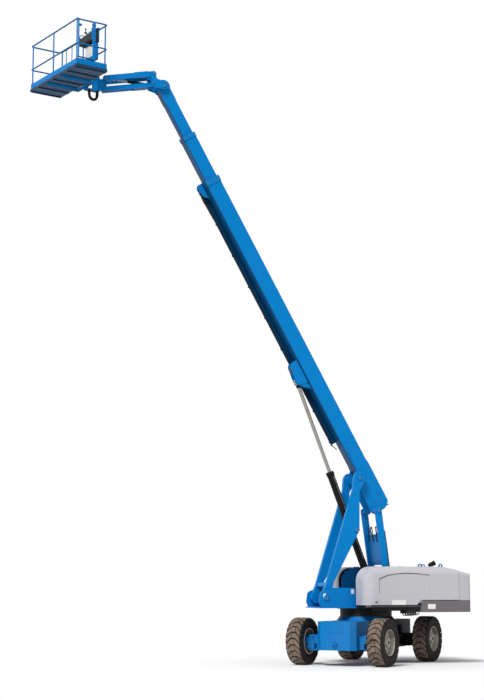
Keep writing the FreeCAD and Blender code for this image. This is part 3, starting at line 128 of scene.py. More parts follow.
def on_platform(x, y, z):
    """A place by the platform: x away from the boom, y to its left, z from the ground."""
    return ROTATOR + Vector((x * math.cos(TURN) - y * math.sin(TURN),
                             x * math.sin(TURN) + y * math.cos(TURN), z))


def length_of(curve_object):
    """The length of a curve's own line, with no thickness."""
    thin = curve_object.data.copy()
    thin.bevel_depth = 0
    probe = bpy.data.objects.new("probe", thin)
    mesh = bpy.data.meshes.new_from_object(probe)
    total = sum((mesh.vertices[e.vertices[0]].co - mesh.vertices[e.vertices[1]].co).length
                for e in mesh.edges)
    bpy.data.objects.remove(probe)
    bpy.data.meshes.remove(mesh)
    return total


def hang_hose(name, outward, beside, stands_for=None):
    """One hose of the loop, that far outside the middle one and that far beside it."""
    line = bpy.data.curves.new(name, "CURVE")
    line.dimensions, line.bevel_depth, line.bevel_resolution = "3D", HOSE_RADIUS, 4
    line.use_fill_caps = True
    spline = line.splines.new("NURBS")
    spline.points.add(len(HOSE_ROUTE) - 1)
    for point, (x, y, z) in zip(spline.points, HOSE_ROUTE):
        x += outward if x > 0.1 else -outward if x < 0.0 else 0.0
        z -= outward if z < -0.2 else 0.0
        point.co = (*on_platform(x, y + beside, HOSE_TOP + z), 1)
    spline.order_u, spline.use_endpoint_u, spline.resolution_u = 3, True, 12
    hose = placed(name, line)
    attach(hose, "platform")
    if stands_for:
        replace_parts(hose, stands_for)
    length = round(length_of(hose), 3)
    print(name, length, "m")
    return hose


free_hoses = [hang_hose("free_hose", 0.0, 0.0, "hose_loop"),
              hang_hose("free_hose_outer", 0.027, 0.004),
              hang_hose("free_hose_inner", -0.027, -0.004)]

# %% [markdown]
# ## Arithmetic on sockets
# A procedural material is a little formula worked out at each point of a surface. Wiring Math
# nodes by hand hides the formula, so one small class wraps a socket and lets Python's own signs
# add the nodes: `1 - mask * 0.3` makes two Math nodes and links them. Any other node comes from
# one method.

# %% Sockets that do sums
def sign(operation, swapped=False):
    """The method for one of Python's signs: it adds a Math node to the finish."""
    def method(self, other):
        first, second = (other, self) if swapped else (self, other)
        return self.finish.node("Math", {"operation": operation}, {0: first, 1: second})
    return method


class Value:
    """A shader socket that can be added, multiplied and compared like a number."""
    __add__ = __radd__ = sign("ADD")
    __mul__ = __rmul__ = sign("MULTIPLY")
    __sub__, __rsub__ = sign("SUBTRACT"), sign("SUBTRACT", swapped=True)
    __gt__, __lt__ = sign("GREATER_THAN"), sign("LESS_THAN")

    def __init__(self, finish, socket):
        self.finish, self.socket = finish, socket

    def held(self):
        """The same value, kept between 0 and 1."""
        return self.finish.node("Math", {"operation": "ADD", "use_clamp": True}, {0: self, 1: 0.0})


class Finish:
    """The nodes of a new material, or of the sky, and the shader that they feed."""

    def __init__(self, name, owner=None):
        self.owner = owner or bpy.data.materials.new(name)
        self.owner.use_nodes = True
        self.tree = self.owner.node_tree
        self.shader = self.tree.nodes.get("Principled BSDF")
        self.place = self.node("TexCoord", out=3)  # where the point is at rest, in metres

    def node(self, kind, settings=None, sockets=None, out=0):
        """Add a node: its settings first, then the values or links of its sockets."""
        made = self.tree.nodes.new("ShaderNode" + kind)
        for key, setting in (settings or {}).items():
            setattr(made, key, setting)
        for key, given in (sockets or {}).items():
            self.feed(made.inputs[key], given)
        return Value(self, made.outputs[out])

    def feed(self, socket, given):
        if isinstance(given, Value):
            self.tree.links.new(given.socket, socket)
        else:
            socket.default_value = given

    def surface(self, **sockets):
        """Feed the shader's own sockets, named with _ for a space."""
        for key, given in sockets.items():
            self.feed(self.shader.inputs[key.replace("_", " ")], given)
        return self.owner

    def mixed(self, amount, first, second):
        """A colour that goes from first to second as amount goes from 0 to 1."""
        return self.node("Mix", {"data_type": "RGBA"}, {0: amount, 6: first, 7: second}, out=2)

    def noise(self, scale, detail):
        """Soft spots, that many to a metre or so: 0.5 on average."""
        return self.node("TexNoise", None,
                         {"Vector": self.place, "Scale": scale, "Detail": detail})

    def between(self, given, low, high):
        """0 at low, 1 at high, and smooth on the way."""
        return self.node("MapRange", {"interpolation_type": "SMOOTHSTEP"},
                         {"Value": given, "From Min": low, "From Max": high})

    def bumped(self, height, strength, distance, normal=None):
        sockets = {"Height": height, "Strength": strength, "Distance": distance}
        if normal is not None:
            sockets["Normal"] = normal
        return self.node("Bump", None, sockets)

    def dot(self, first, second):
        """How far one vector lies along another."""
        return self.node("VectorMath", {"operation": "DOT_PRODUCT"}, {0: first, 1: second}, out=1)

    def edges(self, radius):
        """How much a point is on an edge, and the normal of the edge if it were rounded."""
        rounded = self.node("Bevel", {"samples": 4}, {"Radius": radius})
        true = self.node("NewGeometry", out=1)
        return self.between(1 - self.dot(rounded, true), 0.02, 0.25), rounded


def linear(red, green, blue):
    """A colour from the 0 to 255 that a screen shows, as light."""
    return tuple((c / 255 / 12.92 if c < 11 else ((c / 255 + 0.055) / 1.055) ** 2.4)
                 for c in (red, green, blue)) + (1.0,)


def toned(colour, by, plus=0.0):
    """A colour made lighter or darker."""
    return tuple(min(1.0, c * by + plus) for c in colour[:3]) + (1.0,)


print("arithmetic ready")

# %% [markdown]
# ## Paint on steel
# A boom lift is sprayed with two-pack enamel: even colour, a faint orange-peel ripple, grit and
# dust near the ground, and edges rubbed to primer where people climb. Faces that look down carry
# painted shade, a darker copy of the colour. One recipe serves every painted part, and its numbers
# say which part: how dusty, how worn, how glossy, how dark the painted shade below is, where a
# second colour starts, and which sides take a painted shade colour.

# %% Paints
DUST, OIL_DUST, PRIMER = linear(150, 138, 120), linear(120, 116, 112), linear(60, 62, 66)


def paint(name, colour, gloss=0.38, dust=0.12, wear=0.08, fade=0.05, above=None, sides=None,
          under=0.24):
    """Enamel with ripple, fading, ground dust, rubbed edges and painted shade below and on sides.
    """
    finish = Finish(name)
    height = finish.node("SeparateXYZ", None, {0: finish.place}, out=2)
    facing_way = finish.node("TexCoord", out=1)
    facing_up = finish.node("SeparateXYZ", None, {0: facing_way}, out=2)
    patches, specks = finish.noise(0.9, 5.0), finish.noise(38.0, 3.0)
    edge, rounded = finish.edges(0.006)
    body = finish.mixed(finish.between(patches, 0.35, 0.75) * fade, colour,
                        toned(colour, 1.35, 0.02))
    if above:
        body = finish.mixed(height > above[0], body, above[1])
    # painted shade: side faces short of the reach along the chassis take a dark colour that stands
    # for shade
    if sides:
        along, across, reach, painted_shade_colour = sides
        inner = reach > finish.dot(finish.place, along)
        slant = finish.node("Math", {"operation": "ABSOLUTE"}, {0: finish.dot(facing_way, across)})
        side = finish.between(slant, 0.6, 0.8)
        body = finish.mixed(inner * side, body, painted_shade_colour)
    # painted shade: faces that look down turn towards a darker copy of the colour, as dark as under
    film_and_shade = finish.between(facing_up, -0.15, -0.45)
    body = finish.mixed(film_and_shade * 0.9, body, toned(colour, under))
    low = finish.between(height, 2.2, 0.3)
    grime = (low * finish.between(patches * 0.6 + specks * 0.4, 0.38, 0.72) * dust).held()
    chips = (edge * finish.between(specks, 0.50, 0.66) * wear).held()
    coated = finish.mixed(grime, body, DUST)
    ripple = finish.bumped(finish.noise(420.0, 1.0), 0.05, 0.002, rounded)
    return finish.surface(
        Base_Color=finish.mixed(chips, coated, PRIMER),
        Roughness=(finish.noise(6.0, 3.0) * 0.10 + grime * 0.35 + (gloss - 0.05)).held(),
        Normal=ripple, IOR=1.24, Specular_IOR_Level=0.35)


BLUE = linear(0, 126, 200)
CHASSIS_ACROSS = AXES["spin_rear_left"]
CHASSIS_ALONG = Vector((CHASSIS_ACROSS.y, -CHASSIS_ACROSS.x, 0))
boom_blue = paint("boom_blue", BLUE)
# painted shade: the chassis's long sides behind the front axle take a near-black navy
chassis_blue = paint("chassis_blue", linear(0, 116, 186), gloss=0.45, dust=0.10, wear=0.3,
                     sides=(CHASSIS_ALONG, CHASSIS_ACROSS, 0.95, linear(6, 12, 30)))
# painted shade: a darker copy of the boom blue for parts that stand in shade, plain blue above 2.37
# m
painted_shade_blue = paint("painted_shade_blue", linear(0, 78, 126), gloss=0.5, above=(2.37, BLUE), under=0.45)
# painted shade: the hose tray takes a navy copy of the blue that stands for the shade under the
# boom
painted_shade_navy = paint("painted_shade_navy", linear(0, 58, 98), gloss=0.55, under=0.8)
hood_grey = paint("hood_grey", linear(190, 190, 195), gloss=0.42, dust=0.10, wear=0.08, under=0.7)
ballast_grey = paint("ballast_grey", linear(112, 107, 112), gloss=0.55, wear=0.2, under=0.4,
                     above=(1.540, linear(186, 186, 191)))
frame_black = paint("frame_black", linear(24, 24, 26), gloss=0.45, dust=0.3)
wheel_cream = paint("wheel_cream", linear(205, 202, 190), gloss=0.5, dust=0.6, wear=0.4)
print("paints ready")

# %% [markdown]
# ## Rubber, chrome, cast iron and plastic
# These finishes aren't paint, so each is made from what it really does. Tyres gather dry mud on
# their lugs and keep black grooves; a cylinder rod is ground and polished with hair-fine rings;
# castings are grainy; hoses have a woven cover; moulded plastic has a fine leather-like stipple;
# and the platform's floor is pressed with studs that keep a boot from slipping.

# %% Other finishes
def tyre_rubber(name, colour, dirt_colour, dirt):
    """Rubber with dry dust: an even film, thinner in patches, and a fine grit."""
    finish = Finish(name)
    patches, fine = finish.noise(5.0, 6.0), finish.noise(90.0, 4.0)
    cover = (finish.between(patches, 0.15, 0.70) * dirt + fine * 0.18).held()
    return finish.surface(
        Base_Color=finish.mixed(cover, colour, dirt_colour), Roughness=cover * 0.15 + 0.78,
        Normal=finish.bumped(fine * 0.5 + patches * 0.5, 0.35, 0.004), IOR=1.3)


def ground_steel(name, colour, roughness, ring_scale):
    """Polished steel with fine rings and a film of oil dust."""
    finish = Finish(name)
    film_and_shade = finish.noise(5.0, 5.0)
    rings = finish.noise(ring_scale, 2.0)
    return finish.surface(
        Base_Color=finish.mixed(finish.between(film_and_shade, 0.5, 0.8) * 0.4, colour, OIL_DUST),
        Metallic=1.0, Roughness=film_and_shade * 0.12 + rings * 0.06 + roughness,
        Normal=finish.bumped(rings, 0.04, 0.001))


def grained(name, colour, roughness, grain, depth, second=None, metal=0.0):
    """Cast, moulded or woven stuff: one colour, a cloudy second one and a grain."""
    finish = Finish(name)
    cloud, fine = finish.noise(3.0, 5.0), finish.noise(grain, 4.0)
    other = second or toned(colour, 1.6, 0.01)
    return finish.surface(
        Base_Color=finish.mixed((cloud * 0.5 + fine * 0.3).held(), colour, other), Metallic=metal,
        Roughness=fine * 0.15 + roughness, Normal=finish.bumped(fine, 0.4, depth), IOR=1.4)


def woven_hose(name):
    """Black hose cover: a fine slanting weave over matt rubber."""
    finish = Finish(name)
    weave = finish.node("TexWave", {"wave_type": "BANDS", "bands_direction": "DIAGONAL"},
                        {"Vector": finish.place, "Scale": 160.0, "Distortion": 1.0})
    dirt = finish.between(finish.noise(9.0, 4.0), 0.5, 0.75)
    return finish.surface(
        Base_Color=finish.mixed(dirt * 0.35, linear(20, 20, 21), linear(70, 66, 60)),
        Roughness=weave * 0.1 + 0.6, Normal=finish.bumped(weave, 0.3, 0.001), IOR=1.4)


def deck_plate(name):
    """Platform floor: blue paint in a dark navy that is painted shade, over a pressed non-slip
    pattern.
    """
    finish = Finish(name)
    studs = finish.node("TexVoronoi", {"feature": "F1"}, {"Vector": finish.place, "Scale": 28.0})
    stud = finish.between(studs, 0.42, 0.20)
    wear = finish.between(finish.noise(2.5, 5.0), 0.45, 0.75)
    return finish.surface(
        # painted shade: the navy stands for the shade under the platform
        Base_Color=finish.mixed((stud * 0.2 + wear * 0.2).held(), linear(0, 50, 84),
                                linear(44, 66, 82)),
        Roughness=wear * 0.2 + 0.5, Normal=finish.bumped(stud, 0.5, 0.003), IOR=1.4)


lug_rubber = tyre_rubber("lug_rubber", linear(70, 60, 54), linear(138, 120, 106), 0.80)
carcass_rubber = tyre_rubber("carcass_rubber", linear(24, 22, 21), linear(60, 54, 50), 0.35)
rod_chrome = ground_steel("rod_chrome", linear(158, 154, 150), 0.22, 300.0)
bolt_zinc = ground_steel("bolt_zinc", linear(112, 114, 116), 0.38, 90.0)
cast_iron = grained("cast_iron", linear(58, 58, 60), 0.55, 120.0, 0.002)
console_black = grained("console_black", linear(24, 25, 27), 0.48, 260.0, 0.001)
blank_label = grained("blank_label", linear(236, 236, 232), 0.35, 30.0, 0.0003,
                      linear(222, 222, 216))
hose_black = woven_hose("hose_black")
deck_painted_shade = deck_plate("deck_painted_shade")
for hose in free_hoses:
    hose.data.materials.append(hose_black)
print("finishes:", len(bpy.data.materials))

# %% [markdown]
# ## Dressing the frame
# A frame part whose shape is right keeps it and only changes its finish. A table from part to
# finish reads like a paint shop's job sheet; whatever isn't named in it is boom blue.

# %% Paint the frame
SPRAYED = {
    chassis_blue: ["chassis_frame", "front_axle", "knuckle_left", "knuckle_right"],
    # painted shade: the next two finishes are darker copies of the blue that stand for shade
    painted_shade_blue: ["platform_support", "hydraulic_tank", "bulkhead_left", "bulkhead_right"],
    painted_shade_navy: ["hose_tray"],
    hood_grey: ["hood_left", "hood_right"],
    ballast_grey: ["counterweight"],
    frame_black: ["tie_rod", "rear_axle", "lift_cylinder_barrel", "jib_cylinder_barrel",
                  "tray_left", "tray_right", "exhaust_pipe", "slew_ring"],
    wheel_cream: ["rim_front_left", "rim_front_right", "rim_rear_left", "rim_rear_right"],
    rod_chrome: ["lift_cylinder_rod", "jib_cylinder_rod"],
    cast_iron: ["engine_block"],
    console_black: ["control_console"],
    deck_painted_shade: ["platform_floor"],
}
finish_of = {part: finish for finish, parts in SPRAYED.items() for part in parts}
for part, thing in frame["nodes"].items():
    thing.data.materials.clear()
    thing.data.materials.append(finish_of.get(part, boom_blue))
print("dressed", len(frame["nodes"]), "frame parts")

# %% [markdown]
# ## Tools for making parts
# Small fittings are made of a few honest workshop shapes: a block with its edges broken, a turned
# part, a bent pipe, a plate cut to an outline, a row of bolts. Blender could place primitives one
# by one, but a gatherer that puts many such shapes in one mesh keeps a part in one object, with
# one body to ride on.

# %% A gatherer of shapes
def circle(radius, count, phase=0.0):
    """Places round a circle, as pairs. The first is turned by that share of a step."""
    turns = [2 * math.pi * (i + phase) / count for i in range(count)]
    return [(radius * math.cos(turn), radius * math.sin(turn)) for turn in turns]


MACHINE = Matrix.Identity(4)


class Part:
    """Shapes gathered into one object, which rides on one body and is measured in one frame."""

    def __init__(self, name, body, slot, finishes, home=MACHINE):
        self.name, self.body, self.slot, self.finishes = name, body, slot, finishes
        self.home, self.mesh = home, bmesh.new()

    def add(self, points, faces, finish=0, where=MACHINE, smooth=False):
        """Add corners and faces, in a frame inside the part's own."""
        frame = self.home @ where
        made = [self.mesh.verts.new(frame @ Vector(p)) for p in points]
        for face in faces:
            side = self.mesh.faces.new([made[i] for i in face])
            side.material_index, side.smooth = finish, smooth

    def loft(self, rings, finish=0, where=MACHINE, smooth=True, capped=True):
        """A skin over rings of equally many points, with its ends closed."""
        count = len(rings[0])
        faces = [(row + i, row + (i + 1) % count, row + count + (i + 1) % count, row + count + i)
                 for row in range(0, (len(rings) - 1) * count, count) for i in range(count)]
        self.add([p for ring in rings for p in ring], faces, finish, where, smooth)
        if capped:
            self.add(rings[0], [tuple(reversed(range(count)))], finish, where)
            self.add(rings[-1], [tuple(range(count))], finish, where)

    def block(self, low, high, finish=0, where=MACHINE, ease=0.003):
        """A block with its long edges broken."""
        (x0, y0, z0), (x1, y1, z1) = low, high
        e = min(ease, (x1 - x0) / 4, (y1 - y0) / 4, (z1 - z0) / 4)

        def ring(z, inset):
            a, b, c, d = x0 + inset, x1 - inset, y0 + inset, y1 - inset
            return [(a + e, c, z), (b - e, c, z), (b, c + e, z), (b, d - e, z),
                    (b - e, d, z), (a + e, d, z), (a, d - e, z), (a, c + e, z)]

        self.loft([ring(z0, e), ring(z0 + e, 0), ring(z1 - e, 0), ring(z1, e)], finish, where,
                  smooth=False)

    def slab(self, side, low, high, finish=0):
        """A block whose y is measured outward: to the left for side 1, to the right for -1."""
        near, far = sorted((side * low[1], side * high[1]))
        self.block((low[0], near, low[2]), (high[0], far, high[2]), finish)

    def turned(self, profile, where=MACHINE, finish=0, sides=24, smooth=True):
        """A part made on a lathe along the frame's z: profile has pairs (radius, along)."""
        self.loft([[(x, y, z) for x, y in circle(r, sides)] for r, z in profile], finish, where,
                  smooth)

    def pipe(self, points, radius, finish=0, sides=8, bend=None):
        """A pipe along points, with every corner bent on a radius."""
        path = bent([Vector(p) for p in points], bend if bend is not None else radius * 3)
        rings, side = [], None
        for i, p in enumerate(path):
            way = (path[min(i + 1, len(path) - 1)] - path[max(i - 1, 0)]).normalized()
            side = side - way * side.dot(way) if side else way.orthogonal()
            side.normalize()
            other = way.cross(side)
            rings.append([p + (side * x + other * y) * radius for x, y in circle(1, sides)])
        self.loft(rings, finish)

    def plate(self, outline, low, high):
        """A plate cut to an outline in the frame's x and z, from y = low to y = high."""
        self.loft([[(x, y, z) for x, z in outline] for y in (low, high)], smooth=False)

    def bolt(self, where, size=0.012, finish=0, washer=True):
        """A hexagon head on a washer, standing along the frame's z."""
        if washer:
            self.turned([(size * 1.25, 0), (size * 1.25, size * 0.15)], where, finish, 12, False)
        self.turned([(size, size * 0.15), (size, size * 0.7), (size * 0.85, size * 0.85)], where,
                    finish, 6, False)

    def bolts(self, places, size, finish=0, out=UP, along=(1, 0, 0), where=MACHINE):
        """Equal bolts that stand out of one face."""
        for place in places:
            self.bolt(where @ facing(place, out, along), size, finish)

    def side_bolts(self, half, places, size, finish=0, where=MACHINE):
        """Bolts on the left and the right of a part that wide: places are pairs (x, z)."""
        for side in (1, -1):
            self.bolts([(x, side * half, z) for x, z in places], size, finish, LEFT * side,
                       where=where)

    def done(self):
        """Close the mesh, make the object, and let it ride."""
        data = bpy.data.meshes.new(self.name)
        bmesh.ops.recalc_face_normals(self.mesh, faces=self.mesh.faces)
        self.mesh.to_mesh(data)
        self.mesh.free()
        for finish in self.finishes:
            data.materials.append(finish)
        thing = placed(self.name, data)
        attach(thing, self.body)
        triangles = sum(len(face.vertices) - 2 for face in data.polygons)
        print(self.name, "rides on", self.body, "with", triangles, "triangles")
        return thing


def bent(points, radius):
    """The points of a path whose corners are bent on a radius."""
    path = [points[0]]
    for before, corner, after in zip(points, points[1:], points[2:]):
        back, on = before - corner, after - corner
        turn = math.pi - back.angle(on, math.pi)
        room = 0.45 * min(back.length, on.length)
        reach = min(room, radius * math.tan(turn / 2)) if turn > 0.02 else 0.0
        start, end = corner + back.normalized() * reach, corner + on.normalized() * reach
        for t in (k / 5 for k in range(6)):
            path.append(start * (1 - t) ** 2 + corner * 2 * t * (1 - t) + end * t * t)
    return path + [points[-1]]


def frame_at(origin, x, z):
    """A frame with its x and z along two directions: its y is across them."""
    x, z = Vector(x).normalized(), Vector(z).normalized()
    turned = Matrix((x, z.cross(x), z)).transposed().to_4x4()
    turned.translation = Vector(origin)
    return turned


def facing(place, out, along=(1, 0, 0)):
    """A frame whose z stands out of a face."""
    out, along = Vector(out), Vector(along)
    if abs(along.normalized().dot(out.normalized())) >= 0.9:
        along = UP
    return frame_at(place, along - out * along.dot(out) / out.length_squared, out)


print("tools ready")

# %% [markdown]
# ## Frames to measure in
# A boom leans, a wheel is steered, and the platform is turned on its post, so each fitting is
# measured from the part that carries it: along the boom, across it, and square to it. The joints
# in the record say where those frames start and which way they point.

# %% Frames
def leaning(origin, way):
    """A frame in the boom's plane: x along a way, y to the left and z square to both."""
    return frame_at(origin, way, (-way.z, 0, way.x))


FLOOR_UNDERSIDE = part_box("platform_floor")[0].z
REAR_FOOT = Vector((-0.440, 0.0, 1.620))
CHASSIS = frame_at((0, 0, 0), CHASSIS_ALONG, UP)
BOOM = leaning(PINS["boom_fold"], AXES["boom_extend"])
BARREL = leaning(PINS["lift_barrel_pivot"], AXES["lift_rod_slide"])
LENGTHWISE = Matrix.Rotation(math.pi / 2, 4, "Y")  # turns a lathe's axis along a frame's x
REAR_LINK = leaning(REAR_FOOT, PINS["rear_link_pivot"] - REAR_FOOT)
jib_way = PINS["platform_level"] - PINS["jib_lift"]
JIB_ARM = leaning(PINS["jib_lift"], jib_way)
PLATFORM = frame_at(on_platform(0, 0, FLOOR_UNDERSIDE), (math.cos(TURN), math.sin(TURN), 0), UP)
print("jib arm", round(jib_way.length, 3), "m")

# %% [markdown]
# ## Rough-terrain tyres
# A rough-terrain tyre is a round carcass with a flat tread and tall lugs that slant from near the
# middle out to the shoulder. The lugs are long on the left and on the right in turn, so that mud
# is squeezed out sideways. A texture would leave the outline round, so every lug is a real block
# laid on the crown. One recipe makes all four tyres, each about its own axle.

# %% Tyre shape
TYRE_RADIUS, SEAT = 0.5625, 0.310
LUG_COUNT, LUG_HEIGHT = 23, 0.036
LUG_STEP = 2 * math.pi / LUG_COUNT


def carcass_profile():
    """Half of the carcass, from the crown to the rim seat, as (radius, across)."""
    base = TYRE_RADIUS - LUG_HEIGHT
    return [(base, 0.0), (base, 0.10), (base - 0.008, 0.150), (base - 0.030, 0.178),
            (base - 0.075, 0.190), (base - 0.120, 0.192), (base - 0.165, 0.186),
            (base - 0.190, 0.176), (base - 0.196, 0.172), (base - 0.204, 0.172),
            (SEAT + 0.004, 0.150), (SEAT, 0.120)]


def tread_radius(across):
    """The carcass's own radius under a lug, that far from the tyre's middle."""
    profile = carcass_profile()
    for (r0, a0), (r1, a1) in zip(profile, profile[1:]):
        if a0 <= across <= a1 and a1 > a0:
            return r0 + (r1 - r0) * (across - a0) / (a1 - a0)
    return profile[0][0]


# how far out from the middle, how many steps back the lug slants, and its share of the full height
LUG_LINE = [(-0.030, 0.00, 1.00), (0.055, 0.00, 1.00), (0.120, -0.42, 0.99),
            (0.168, -0.80, 0.95), (0.189, -0.94, 0.80), (0.194, -0.98, 0.20)]


def on_tyre(radius, across, angle):
    """A place on the tyre, in the wheel's own frame."""
    return (radius * math.cos(angle), across, radius * math.sin(angle))


def lug(part, turn, side, start):
    """One lug: a bar across the crown that slants down to the shoulder."""
    rings = []
    for across, slant, height in LUG_LINE:
        across = max(across, start)
        floor_radius = tread_radius(abs(across))
        base, top = floor_radius - 0.012, floor_radius + (TYRE_RADIUS - floor_radius) * height
        outline = ((base, 0.44), (top - 0.008, 0.40), (top, 0.34),
                   (top, -0.34), (top - 0.008, -0.40), (base, -0.44))
        rings.append([on_tyre(radius, side * across, turn + slant * LUG_STEP + share * LUG_STEP)
                      for radius, share in outline])
    part.loft(rings, 1, smooth=False)


def lug_tail(part, turn, side):
    """The end of a lug, standing a little proud of the sidewall."""
    centre, rings = turn - 0.98 * LUG_STEP, []
    for across, outer, inner, share in ((0.176, 0.548, 0.455, 0.42), (0.194, 0.546, 0.462, 0.40),
                                        (0.199, 0.538, 0.470, 0.34)):
        outline = ((outer, -share), (outer, share), (inner, share * 0.8), (inner, -share * 0.8))
        rings.append([on_tyre(radius, side * across, centre + reach * LUG_STEP)
                      for radius, reach in outline])
    part.loft(rings, 1, smooth=False)


def tyre(name, node, body, pin):
    """A tyre about the wheel's own axle, which is the frame's y."""
    home = frame_at(PINS[pin], (AXES[pin].y, -AXES[pin].x, 0), UP)
    part = Part(name, body, "tyre_rubber", [lug_rubber, carcass_rubber], home)
    half = carcass_profile()
    outline = [(r, -a) for r, a in reversed(half)] + half[1:]
    rings = [[(x, a, z) for x, z in circle(r, 96)] for r, a in outline]
    part.loft(rings, 1, capped=False)
    part.loft([rings[-1], rings[0]], 1, capped=False)
    for i in range(LUG_COUNT):
        turn, long_side = 2 * math.pi * i / LUG_COUNT, 1 if i % 2 else -1
        for side in (1, -1):
            lug(part, turn, side, -0.030 if side == long_side else 0.042)
            lug_tail(part, turn, side)
    for radius in (0.345, 0.352, 0.400):
        for side in (1, -1):
            rib = [[(x, side * a, z) for x, z in circle(radius + more, 64)]
                   for more, a in ((-0.004, 0.180), (0.0, 0.192), (0.004, 0.180))]
            part.loft(rib, 1, capped=False)
    for face in part.mesh.faces:
        spot = home.inverted() @ face.calc_center_median()
        if math.hypot(spot.x, spot.z) > TYRE_RADIUS - 0.012:
            face.material_index = 0
    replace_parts(part.done(), node)


CORNERS = ["front_left", "front_right", "rear_left", "rear_right"]
for corner in CORNERS:
    tyre("tyre_with_lugs_" + corner, "tyre_" + corner, "wheel_" + corner, "spin_" + corner)

# %% [markdown]
# ## Wheel fittings
# Each wheel is a dished steel disc held by a ring of nuts on studs, round a hub whose cap is
# bolted on, with a tyre valve near the rim. The nuts are zinc-grey against cream paint, and they
# are what a turning wheel shows first.

# %% Wheel nuts, hub cap and valve
for corner in CORNERS:
    axle = AXES["spin_" + corner]
    outward = axle if "left" in corner else -axle
    nuts = Part("wheel_nuts_" + corner, "wheel_" + corner, "rim_paint", [bolt_zinc, frame_black],
                frame_at(PINS["spin_" + corner], UP, outward))
    for x, y in circle(0.172, 10):
        stud = Matrix.Translation((x, y, 0.0785))
        nuts.bolt(stud, 0.0155)
        nuts.turned([(0.006, 0), (0.006, 0.026), (0.004, 0.029)], stud, 0, 8)
    for x, y in circle(0.070, 8, 0.5):
        nuts.bolt(Matrix.Translation((x, y, 0.1495)), 0.007, washer=False)
    nuts.turned([(0.045, 0.149), (0.045, 0.156), (0.036, 0.160), (0.012, 0.161)],
                finish=1, sides=20)
    nuts.pipe([(0.262, 0, 0.055), (0.262, 0, 0.085), (0.280, 0, 0.098)], 0.005, 1)
    nuts.done()

# %% [markdown]
# ## Pins, caps and keepers
# Every pivot of the boom is a hard steel pin. Its end shows as a disc with a chamfer, and a small
# bolted keeper plate sits in a slot beside it so the pin can't turn or walk out. One helper makes
# both sides of a pivot from the pin's place and how wide the fork is there.

# %% Pin ends
def pin_ends(part, place, half_width, radius, stand, keeper_turn):
    """Caps on both ends of a pin along y, each with its keeper plate and two bolts."""
    for side in (1, -1):
        out = frame_at((place.x, side * half_width, place.z), (1, 0, 0), (0, side, 0))
        part.turned([(radius, 0), (radius, stand * 0.7), (radius * 0.9, stand)], out, 0, 28)
        part.turned([(radius * 0.45, stand), (radius * 0.40, stand + 0.001)], out, 1, 20)
        keeper = out @ Matrix.Rotation(keeper_turn * side, 4, "Z")
        part.block((-radius * 0.75, radius * 0.80, 0), (radius * 0.75, radius * 1.35, 0.008), 0,
                   keeper)
        part.bolts([(x, radius * 1.08, 0.008) for x in (-radius * 0.5, radius * 0.5)],
                   radius * 0.16, 1, where=keeper)


PIVOTS = [  # name, pivot, body, half width, radius, how far it stands out, keeper's turn
    ("foot_pin", "boom_lift", "turntable", 0.470, 0.060, 0.020, 2.6),
    ("boom_heel_pin", "boom_fold", "front_link", 0.390, 0.062, 0.019, 0.6),
    ("lift_trunnion", "lift_barrel_pivot", "front_link", 0.390, 0.060, 0.019, 1.9),
    ("rear_link_pin", "rear_link_pivot", "rear_link", 0.490, 0.058, 0.018, 2.9),
    ("jib_foot_pin", "jib_lift", "jib_bracket", 0.220, 0.034, 0.012, 0.4),
    ("jib_lower_pin", "jib_lower_pivot", "jib_bracket", 0.220, 0.030, 0.012, 3.3),
    ("level_pin", "jib_level", "jib_bracket", 0.220, 0.052, 0.014, 1.2),
    ("platform_pin", "platform_level", "platform_bracket", 0.186, 0.032, 0.012, 2.0),
]
for name, pivot, body, half_width, radius, stand, turn in PIVOTS:
    part = Part(name, body, "blue_paint", [boom_blue, bolt_zinc])
    pin_ends(part, PINS[pivot], half_width, radius, stand, turn)
    part.done()

# %% [markdown]
# ## Boom collars, wear pads and heel
# The sections slide on plastic wear pads held in the mouth of each outer section, set with screws
# whose heads show in rows round the collar. The base section's heel plates and the bracket of the
# lift cylinder are bolted too. All of these are shop-made plates and screws, so they are built
# from blocks, plates and bolts in the boom's own frame.

# %% Collars and wear pads
SCREW = 0.011


def collar_screws(part, along, low, high, half, rows=3):
    """Pad screws on both sides, the top and the bottom of a boom section's mouth."""
    heights = [low + (high - low) * (k + 0.5) / rows for k in range(rows)]
    part.side_bolts(half, [(along, n) for n in heights], SCREW)
    for n, out in ((high, 1), (low, -1)):
        part.bolts([(along, k * half * 0.55, n) for k in (-1, 1)], SCREW, out=(0, 0, out))


def wear_pads(part, start, low, high, half, gap, length):
    """Plastic pads filling the gap round the inner section where it comes out."""
    end, skin = start + length, 0.0005
    for side in (1, -1):
        for n in (low + 0.03, high - 0.11):
            part.slab(side, (start, half + skin, n), (end, half + gap, n + 0.08), 1)
        for under, over in ((high + skin, high + gap), (low - gap, low - skin)):
            part.slab(side, (start, 0.03, under), (end, 0.12, over), 1)


base_mouth = Part("base_mouth_fittings", "boom_base", "black_paint",
                  [bolt_zinc, console_black], BOOM)
collar_screws(base_mouth, 8.235, 0.051, 0.479, 0.204)
collar_screws(base_mouth, 8.290, 0.051, 0.479, 0.204, 4)
wear_pads(base_mouth, 8.325, 0.0925, 0.4375, 0.162, 0.020, 0.014)
base_mouth.done()
mid_mouth = Part("mid_mouth_fittings", "boom_mid", "black_paint", [bolt_zinc, console_black], BOOM)
collar_screws(mid_mouth, 9.500, 0.0795, 0.4505, 0.175)
wear_pads(mid_mouth, 9.552, 0.120, 0.410, 0.134, 0.020, 0.012)
mid_mouth.done()

